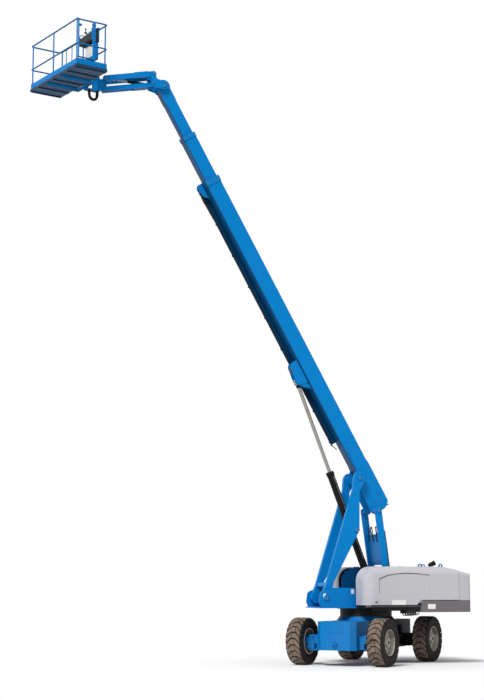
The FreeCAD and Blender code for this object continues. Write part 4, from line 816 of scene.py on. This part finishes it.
# %% Boom heel and cylinder bracket bolts
heel = Part("boom_heel_fittings", "boom_base", "blue_paint", [bolt_zinc, boom_blue], BOOM)
heel.side_bolts(0.209, [(-0.76, 0.17), (-0.76, 0.33), (-0.26, 0.12), (-0.26, 0.40),
                        (0.12, 0.12), (0.12, 0.40), (0.70, 0.12), (0.70, 0.40)], 0.014)
heel.side_bolts(0.092, [(along, -0.020) for along in (2.62, 2.72, 2.94, 3.04)], SCREW)
for k in range(5):
    along = 0.10 + 0.35 * k
    heel.block((along, -0.10, 0.465), (along + 0.09, 0.10, 0.471), 1)
    heel.bolts([(along + 0.045, y, 0.471) for y in (-0.08, 0.08)], 0.009)
heel.done()

# %% Lift bracket and rod eye
bracket = Part("lift_bracket_plates", "boom_base", "blue_paint", [boom_blue, bolt_zinc], BOOM)
BRACKET = [(2.68, 0.062), (2.73, -0.150), (2.79, -0.205), (2.88, -0.212), (3.22, -0.165),
           (3.29, -0.120), (3.32, 0.062)]
for side in (1, -1):
    inner, outer = sorted((side * 0.0985, side * 0.108))
    bracket.plate(BRACKET, inner, outer)
bracket.side_bolts(0.108, [(2.76, -0.02), (3.10, -0.11), (3.24, -0.08), (3.24, 0.02)], SCREW, 1)
bracket.block((3.04, -0.0985, -0.176), (3.22, 0.0985, -0.160), 0)
bracket.done()
eye = Part("lift_rod_eye_sleeve", "lift_rod", "black_paint", [frame_black], BARREL)
ROD_EYE = Vector((1.790, 0, 6.934))
rod_reach = (ROD_EYE - PINS["lift_barrel_pivot"]).length
eye.turned([(0.050, rod_reach - 0.166), (0.060, rod_reach - 0.160), (0.062, rod_reach - 0.11),
            (0.052, rod_reach - 0.085)], LENGTHWISE, 0, 28)
eye.done()

# %% [markdown]
# ## Hoses and cable along the boom
# Oil and control cable reach the platform in a tray under the base section. They are held by
# clamp blocks, and at the boom's head they turn upwards beside a roller between two guide plates.
# Hoses that are clamped all along can't swing, so they are bent pipes with a hose finish.

# %% Tray hoses and clamps
tray = Part("tray_hoses", "boom_base", "hose_rubber", [hose_black, frame_black], BOOM)
for k, (y, n) in enumerate([(-0.170, -0.064), (-0.150, -0.067), (-0.128, -0.064),
                            (-0.112, -0.067)]):
    tray.pipe([(0.92 - 0.03 * k, y, n + 0.055), (0.98, y, n), (8.20 - 0.05 * k, y, n),
               (8.28, y + 0.012, n + 0.075)], 0.009, 0, bend=0.06)
for k in range(9):
    along = 1.06 + 0.88 * k
    tray.block((along, -0.190, -0.082), (along + 0.045, -0.098, -0.055), 1)
    tray.bolts([(along + 0.022, y, -0.082) for y in (-0.180, -0.108)], 0.007, out=-UP)
tray.done()

guide = Part("head_hose_guide", "boom_base", "blue_paint",
             [boom_blue, bolt_zinc, frame_black], BOOM)
GUIDE = [(7.90, 0.062), (8.00, -0.050), (8.16, -0.088), (8.27, -0.088), (8.33, -0.040),
         (8.33, 0.048)]
for y in (-0.199, -0.090):
    guide.plate(GUIDE, y, y + 0.008)
guide.turned([(0.050, -0.048), (0.050, -0.040), (0.034, -0.034), (0.034, 0.034), (0.050, 0.040),
              (0.050, 0.048)], facing((8.22, -0.143, -0.030), LEFT), 2, 28)
guide.bolts([(7.97, -0.082, 0.0), (8.05, -0.082, 0.03), (8.22, -0.082, -0.030)], 0.010, 1, LEFT)
guide.done()

head = Part("head_hose_bundle", "boom_base", "hose_rubber", [hose_black, frame_black], BOOM)
for k in range(5):
    y, n = -0.185 + 0.018 * k, -0.060 - 0.010 * (k % 2)
    head.pipe([(7.40 - 0.06 * k, y, -0.062), (7.75, y, n - 0.014), (8.02, y, n - 0.020),
               (8.13, y, n + 0.010), (8.165, y, n + 0.060)], 0.011, 0, bend=0.08)
for along in (7.86, 8.08):
    head.block((along, -0.196, -0.098), (along + 0.04, -0.096, -0.050), 1)
head.done()

# %% [markdown]
# ## Boom tip and jib
# At the tip, the bracket that keeps the jib level turns between two round cheek discs, and bolts
# in a ring fix each disc's cover. Five small hoses are clamped along the jib's upper arm, with oil
# for the jib cylinder and for turning the platform, and the arm has a grease nipple at each pin.

# %% Tip covers and jib hoses
tip = Part("tip_cover_bolts", "boom_tip", "blue_paint", [bolt_zinc])
tip_pin = PINS["jib_level"]
for side in (1, -1):
    ring = frame_at((tip_pin.x, side * 0.144, tip_pin.z), (1, 0, 0), (0, side, 0))
    for x, y in circle(0.112, 8):
        tip.bolt(ring @ Matrix.Translation((x, y, 0)), 0.008)
tip.side_bolts(0.134, [(along, 0.35) for along in (9.78, 10.12, 10.46)], 0.008, where=BOOM)
tip.done()

jib_top = Part("jib_arm_fittings", "jib_upper_arm", "hose_rubber",
               [hose_black, bolt_zinc, boom_blue], JIB_ARM)
reach = jib_way.length
for y in (-0.112, -0.092, 0.072, 0.092, 0.112):
    jib_top.pipe([(0.16, y, 0.030), (0.28, y, 0.044), (0.60, y, 0.030), (reach - 0.20, y, 0.034)],
                 0.008, 0, bend=0.05)
for side in (1, -1):
    for along in (0.30, 0.62, 0.94):
        jib_top.slab(side, (along, 0.060, 0.018), (along + 0.03, 0.1245, 0.048), 2)
    for along in (0.14, reach - 0.14):
        jib_top.turned([(0.006, 0), (0.006, 0.010), (0.003, 0.016)],
                       facing((along, side * 0.155, 0.0675), UP), 1, 8)
jib_top.done()

# %% [markdown]
# ## Lift cylinder and link fittings
# A big cylinder ends in a gland nut where its rod slides out, and has a holding valve block near
# its foot with a hard pipe clipped along the barrel to the rod end. The rear link is two arms and
# a web plate: bolts show in rows across the web, hoses come up over its end, and two more are
# clamped along the left arm.

# %% Lift cylinder pipes
lift = Part("lift_cylinder_fittings", "lift_barrel", "black_paint",
            [frame_black, bolt_zinc, hose_black], BARREL)
lift.turned([(0.099, 1.47), (0.104, 1.475), (0.104, 1.515), (0.098, 1.52)], LENGTHWISE, 0, 32,
            smooth=False)
lift.block((-0.98, 0.086, -0.045), (-0.76, 0.150, 0.045), 0)
lift.pipe([(-0.80, 0.112, 0.020), (-0.70, 0.108, 0.020), (1.36, 0.106, 0.020),
           (1.43, 0.085, 0.020)], 0.011, 1)
for along in (-0.45, 0.10, 0.65, 1.20):
    lift.block((along, 0.086, -0.004), (along + 0.03, 0.124, 0.044), 0)
lift.bolts([(x, 0.150, n) for x in (-0.96, -0.78) for n in (-0.03, 0.03)], 0.008, out=LEFT)
for y, n in ((0.130, -0.115), (0.115, -0.100)):
    lift.pipe([(-0.86, y, -0.045), (-0.84, y, n + 0.02), (-0.62, y, n), (-0.42, y, n + 0.01),
               (-0.36, 0.08, -0.060)], 0.012, 2, bend=0.10)
lift.done()

# %% Rear link hoses and bolts
rear = Part("rear_link_fittings", "rear_link", "hose_rubber", [hose_black, bolt_zinc], REAR_LINK)
for k, y in enumerate((-0.30, -0.22, -0.05, 0.13, 0.20, 0.26, 0.33, 0.38)):
    n = 0.024 if k % 2 else -0.024
    rear.pipe([(1.36, y, n), (1.52, y + 0.008, n * 1.3), (1.64, y - 0.010, n * 0.4),
               (1.74, y + 0.006, n)], 0.014, 0, bend=0.08)
for y in (0.445, 0.472):
    rear.pipe([(0.60, y, 0.100), (1.16, y, 0.104), (1.62, y, 0.098)], 0.012, 0)
for along in (0.80, 1.18, 1.55):
    rear.block((along, 0.428, 0.086), (along + 0.03, 0.488, 0.116), 1)
for out in (1, -1):
    rear.bolts([(along, y, out * 0.012) for along in (0.84, 1.50)
                for y in (-0.30, -0.10, 0.10, 0.30)], 0.014, out=UP * out)
rear.done()

# %% [markdown]
# ## Covers of the turntable
# The covers are moulded shells that hinge at the top. What tells a cover from a box is its seams:
# a rubber seal along its lower edge over a grey sill, a dark split at the tail, the arched edge
# of its pressed panel, and two pull latches. They are thin strips and small plates laid where the
# cover meets its neighbours. The black strip in the tail split and the black bead along the panel's
# arched and front edges are painted shade.

# %% Cover seals, sills and latches
PANEL_ARCH = [(0.136, 2.050), (-0.090, 2.140), (-0.350, 2.178), (-0.600, 2.190), (-0.900, 2.178),
              (-1.184, 2.146)]
for side, body in ((1, "hood_left"), (-1, "hood_right")):
    low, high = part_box(body)
    face = max(abs(low.y), abs(high.y))
    trim = Part("cover_trim_" + body[5:], body, "grey_cover", [console_black, hood_grey])
    trim.slab(side, (-0.93, face - 0.012, low.z - 0.012), (0.36, face + 0.004, low.z + 0.010))
    for x in (-0.95, 0.22):
        latch = facing((x, side * face, low.z + 0.080), LEFT * side)
        trim.block((-0.045, -0.028, 0), (0.045, 0.028, 0.006), 1, latch)
        trim.block((-0.032, -0.012, 0.006), (0.032, 0.014, 0.011), 0, latch)
    # painted shadow: a black bead under the arched edge of the pressed panel, and a thin one down
    # its front edge
    trim.pipe([(x, side * (face - 0.007), z) for x, z in PANEL_ARCH], 0.007, bend=0.12)
    trim.pipe([(0.134, side * (face - 0.009), z) for z in (2.05, 1.68)], 0.004)
    trim.done()
    sill = Part("cover_sill_" + body[5:], "turntable", "grey_cover", [ballast_grey, console_black])
    sill.slab(side, (-0.93, 1.10, 1.3755), (0.455, 1.190, 1.404))
    sill.bolts([(-0.84 + 0.2 * k, side * 1.190, 1.390) for k in range(7)], 0.006, out=LEFT * side)
    # painted shade: a black strip in the split between the cover and the counterweight
    sill.slab(side, (-1.988, 0.66, 1.56), (-1.970, 1.196, 2.13), 1)
    sill.done()

# %% [markdown]
# ## Tail of the counterweight
# The counterweight is one casting that also closes the tail. It carries a row of holding bolts, a
# service plate and air slots for the engine bay, all of them low plates and blocks, so that
# nothing sticks out when the machine slews next to a wall.

# %% Tail plate, slots and bolts
low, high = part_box("counterweight")
tail = Part("tail_fittings", "turntable", "ballast_paint", [ballast_grey, bolt_zinc, console_black])
for side in (1, -1):
    for k in range(5):
        slot = facing((low.x, side * 0.86, 1.72 + 0.055 * k), BACK, LEFT)
        tail.block((-0.150, -0.016, 0), (0.150, 0.016, 0.003), 0, slot)
        # painted shade: a black strip stands for the dark opening of each air slot
        tail.block((-0.140, -0.006, 0.0035), (0.140, 0.009, 0.0045), 2, slot)
    tail.bolts([(low.x, side * y, 1.38) for y in (0.30, 0.55, 0.80, 1.02)], 0.016, 1, BACK, LEFT)
    tail.bolts([(x, side * high.y, 1.30) for x in (-1.55, -1.85, -2.15)], 0.012, 1, LEFT * side)
plate = facing((low.x, 0, 1.40), BACK, LEFT)
tail.block((-0.20, -0.07, 0), (0.20, 0.07, 0.004), 0, plate)
tail.bolts([(a, b, 0.004) for a in (-0.17, 0.17) for b in (-0.05, 0.05)], 0.008, 1, where=plate)
tail.done()

# %% [markdown]
# ## Deck bolts and valve blocks
# A ring of bolts holds the turntable's deck to the slewing ring. Under the deck, behind the ring,
# hang six cast valve blocks with plugs, and short hoses that share out the oil. They are dark and
# oily, and seen as a tangle between the wheels, so each block's hoses hang a little higher than
# its neighbour's.

# %% Slew ring bolts and valve blocks
under = Part("slew_drive_and_valves", "turntable", "cast_machinery",
             [frame_black, bolt_zinc, hose_black, cast_iron])
for x, y in circle(0.350, 24):
    under.bolt(Matrix.Translation((x, y, 1.375)), 0.013)
for side in (1, -1):
    for k in range(3):
        inner, outer = 0.60 + 0.15 * k, 0.72 + 0.15 * k
        middle = side * (inner + outer) / 2
        under.slab(side, (-0.90, inner, 1.215), (-0.66, outer, 1.299), 3)
        for x in (-0.85, -0.78, -0.71):
            under.turned([(0.020, 0), (0.020, 0.014), (0.014, 0.022)],
                         facing((x, middle, 1.215), -UP), 1, 6)
            under.pipe([(x, middle, 1.20), (x, middle + 0.01, 1.170 + 0.008 * k),
                        (x - 0.05, middle + side * 0.10, 1.165 + 0.010 * k),
                        (x - 0.10, middle + side * 0.14, 1.235)], 0.012, 2, bend=0.04)
under.done()

# %% [markdown]
# ## Chassis fittings
# On each side of the chassis, clamped drive hoses run from a valve manifold towards both axles. A
# bolted cover closes the inspection hole at each end, and more bolt heads show on the top.

# %% Chassis hoses, manifold and covers
frame_side = Part("chassis_hoses", "chassis", "hose_rubber",
                  [hose_black, bolt_zinc, frame_black], CHASSIS)
WALL = 0.505
for side in (1, -1):
    frame_side.slab(side, (-0.36, WALL, 0.66), (0.06, WALL + 0.060, 0.90), 2)
    for x in (-1.00, 0.50):
        frame_side.slab(side, (x, WALL, 0.60), (x + 0.035, WALL + 0.044, 0.92), 2)
    for k in range(5):
        x = -0.30 + 0.075 * k
        frame_side.turned([(0.016, 0), (0.016, 0.03), (0.012, 0.045)],
                          facing((x, side * (WALL + 0.060), 0.80), LEFT * side), 1, 6)
        rearward = [(x, 0.100, 0.80), (x, 0.120, 0.66 - 0.02 * k),
                    (x - 0.18, 0.050 + 0.012 * k, 0.56), (-0.80, 0.024, 0.52 + 0.035 * k),
                    (-1.12, 0.020, 0.56 + 0.030 * k)]
        forward = [(x, 0.060, 0.88), (x + 0.12, 0.080, 0.97), (0.40, 0.030, 0.90 - 0.04 * k),
                   (0.95, 0.020, 0.80 - 0.035 * k)]
        for route, radius in ((rearward, 0.012), (forward, 0.011)):
            frame_side.pipe([(x, side * (WALL + out), z) for x, out, z in route], radius, bend=0.09)
frame_side.done()

front = Part("chassis_front_fittings", "chassis", "blue_paint", [bolt_zinc, chassis_blue],
             CHASSIS)
for x, out in ((1.85, 1), (-1.79, -1)):
    face = facing((x, 0, 0.86), (out, 0, 0), LEFT)
    front.block((-0.20, -0.085, 0), (0.20, 0.085, 0.006), 1, face)
    front.bolts([(a, b, 0.006) for a in (-0.175, 0.175) for b in (-0.062, 0.062)], 0.009,
                where=face)
for side in (1, -1):
    front.bolts([(x, side * 0.44, 1.045) for x in (0.3, 0.6, 1.5, -1.4, -1.0)], 0.012)
front.done()

# %% [markdown]
# ## Platform fittings
# Seen from below, a platform is a frame of stringers under a folded floor sheet. Bolts hold its
# toe boards, and one board has a rolled edge. The console has two levers in boots and a row of
# switches between guard hoops, with a box and a blank plate under it, and the gate has a latch.

# %% Platform stringers and toe boards
basket = Part("platform_fittings", "platform", "blue_paint", [boom_blue, deck_painted_shade], PLATFORM)
for y in (-1.15, -0.75, 0.0, 0.75, 1.15):
    basket.block((0.36, y - 0.014, -0.030), (1.18, y + 0.014, -0.0005), 1)
basket.block((0.712, 1.198, 0.050), (1.160, 1.206, 0.196), 0)
basket.block((0.712, 1.190, 0.190), (1.160, 1.206, 0.198), 0)
for x, out in ((0.365, -1), (1.175, 1)):
    basket.bolts([(x + out * 0.006, -1.05 + 0.35 * k, 0.10) for k in range(7)], 0.008,
                 out=(out, 0, 0))
basket.done()

# %% Control console details
CONSOLE_TOP = 1.185
controls = Part("console_controls", "platform", "console_plastic",
                [console_black, bolt_zinc, boom_blue, blank_label], PLATFORM)
for y in (0.37, 0.73):
    stick = Matrix.Translation((0.500, y, CONSOLE_TOP))
    controls.turned([(0.042, 0), (0.038, 0.010), (0.022, 0.030), (0.016, 0.034)], stick, 0, 20)
    controls.turned([(0.010, 0.030), (0.010, 0.075), (0.017, 0.085), (0.019, 0.115),
                     (0.013, 0.128)], stick, 0, 16)
for k in range(5):
    switch = Matrix.Translation((0.460, 0.46 + 0.045 * k, CONSOLE_TOP))
    controls.turned([(0.011, 0), (0.011, 0.006), (0.005, 0.008), (0.005, 0.026), (0.003, 0.028)],
                    switch, 1, 12)
for y in (0.24, 0.86):
    controls.pipe([(0.400, y, 0.84), (0.400, y, 1.155), (0.590, y, 1.155), (0.590, y, 0.86)],
                  0.011, 2, bend=0.05)
controls.block((0.388, 0.40, 0.40), (0.520, 0.84, 0.82), 2, ease=0.02)
controls.block((0.5195, 0.43, 0.50), (0.5215, 0.81, 0.79), 3, ease=0.02)
controls.block((0.376, 0.244, 1.178), (0.440, 0.856, 1.200), 2)
controls.done()

# %% Gate latch
GATE = PLATFORM.copy()
GATE.translation = (PINS["gate_swing"].x, PINS["gate_swing"].y, FLOOR_UNDERSIDE)
latch = Part("gate_latch", "gate", "blue_paint", [boom_blue], GATE)
latch.block((0.360, -0.020, 1.00), (0.420, 0.020, 1.05), 0)
latch.done()

# %% [markdown]
# ## Blank plates and labels
# Notices sit on the covers, the ballast and the riser. They stay blank: thin white plates with
# rounded corners, raised the thickness of a sticker, at the places where an operator would look.

# %% Labels
LABELS = {
    "cover_label": ("hood_left", [((-0.367, 1.2205, 1.487), 0.365, 0.115)]),
    "ballast_label": ("turntable", [((-1.236, 1.2055, 1.387), 0.205, 0.118)]),
    "riser_labels": ("turntable", [((0.536, 0.4705, 1.745), 0.077, 0.110),
                                   ((1.270, 0.4705, 1.650), 0.070, 0.100)]),
}
for name, (body, places) in LABELS.items():
    part = Part(name, body, "console_plastic", [blank_label])
    for place, width, height in places:
        part.block((-width / 2, -height / 2, 0.0), (width / 2, height / 2, 0.0016), 0,
                   facing(place, LEFT), 0.008)
    part.done()

# %% [markdown]
# ## Exhaust outlet
# The exhaust rises through the tail cover and ends in a cut elbow. It is black, and much thicker
# than its bare pipe because of its heat shield, a rolled sheet with a flared mouth.

# %% Exhaust shield
low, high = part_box("exhaust_pipe")
shield = Part("exhaust_shield", "turntable", "black_paint", [frame_black, console_black])
bottom = Vector(((low.x + high.x) / 2 + 0.01, high.y - 0.072, high.z - 0.100))
mouth = Vector((low.x - 0.050, bottom.y - 0.012, high.z - 0.022))
elbow = [bottom, bottom + Vector((0, 0, 0.030)), mouth]
shield.pipe(elbow, 0.056, 0, sides=20, bend=0.09)
out = frame_at(mouth, (0, 1, 0), elbow[2] - elbow[1])
shield.turned([(0.056, -0.020), (0.066, -0.004), (0.066, 0.006), (0.050, 0.008), (0.046, -0.010)],
              out, 0, 24)
shield.turned([(0.046, 0.0), (0.040, 0.001)], out, 1, 20)
shield.done()

# %% [markdown]
# ## Floor and light
# The machine stands on a pale floor that catches a soft shadow and fades into a white surrounding.
# The floor is an ordinary matt disc near the machine and turns to plain white further out, for the
# eye only, so it throws no extra light. One wide soft sun from the front left and an even pale sky
# light the paint at about the colour it was mixed.

# %% Floor
def seen(finish):
    """1 for what reaches the eye, straight, by a shine or through glass, and 0 for other light."""
    path = finish.node("LightPath")
    outputs = path.socket.node.outputs
    return (path + Value(finish, outputs["Is Glossy Ray"])
            + Value(finish, outputs["Is Transmission Ray"])).held()


ground = bmesh.new()
bmesh.ops.create_circle(ground, cap_ends=True, segments=96, radius=90)
ground_mesh = bpy.data.meshes.new("floor")
ground.to_mesh(ground_mesh)
floor = placed("floor", ground_mesh)

pale = Finish("pale_floor")
away = pale.node("VectorMath", {"operation": "LENGTH"}, {0: pale.place}, out=1)
glow = pale.node("Emission", None, {"Color": (1, 1, 1, 1), "Strength": 1.0})
pale.surface(Base_Color=(0.93, 0.93, 0.93, 1), Roughness=0.9)
blend = pale.node("MixShader", None, {0: seen(pale) * pale.between(away, 2.4, 5.0),
                                      1: Value(pale, pale.shader.outputs[0]), 2: glow})
pale.tree.links.new(blend.socket, pale.tree.nodes["Material Output"].inputs[0])
floor.data.materials.append(pale.owner)
print("floor radius 90 m")

# %% Light
SKY_LIGHT, SUN_LIGHT, SUN_FROM = 0.34, 2.75, (0.52, 0.50, 0.85)
world = bpy.data.worlds.new("sky")
bpy.context.scene.world = world
sky = Finish("sky", world)
background = sky.tree.nodes["Background"].inputs
sky.feed(background["Color"], (1, 1, 1, 1))
sky.feed(background["Strength"], seen(sky) * (1 - SKY_LIGHT) + SKY_LIGHT)

lamp = bpy.data.lights.new("soft_sun", "SUN")
lamp.energy, lamp.angle = SUN_LIGHT, math.radians(18)
sun = placed("soft_sun", lamp)
sun.rotation_mode = "QUATERNION"
sun.rotation_quaternion = Vector(SUN_FROM).to_track_quat("Z", "Y")
bpy.context.scene.view_settings.view_transform = "Standard"
print("sun", SUN_LIGHT, "sky", SKY_LIGHT)
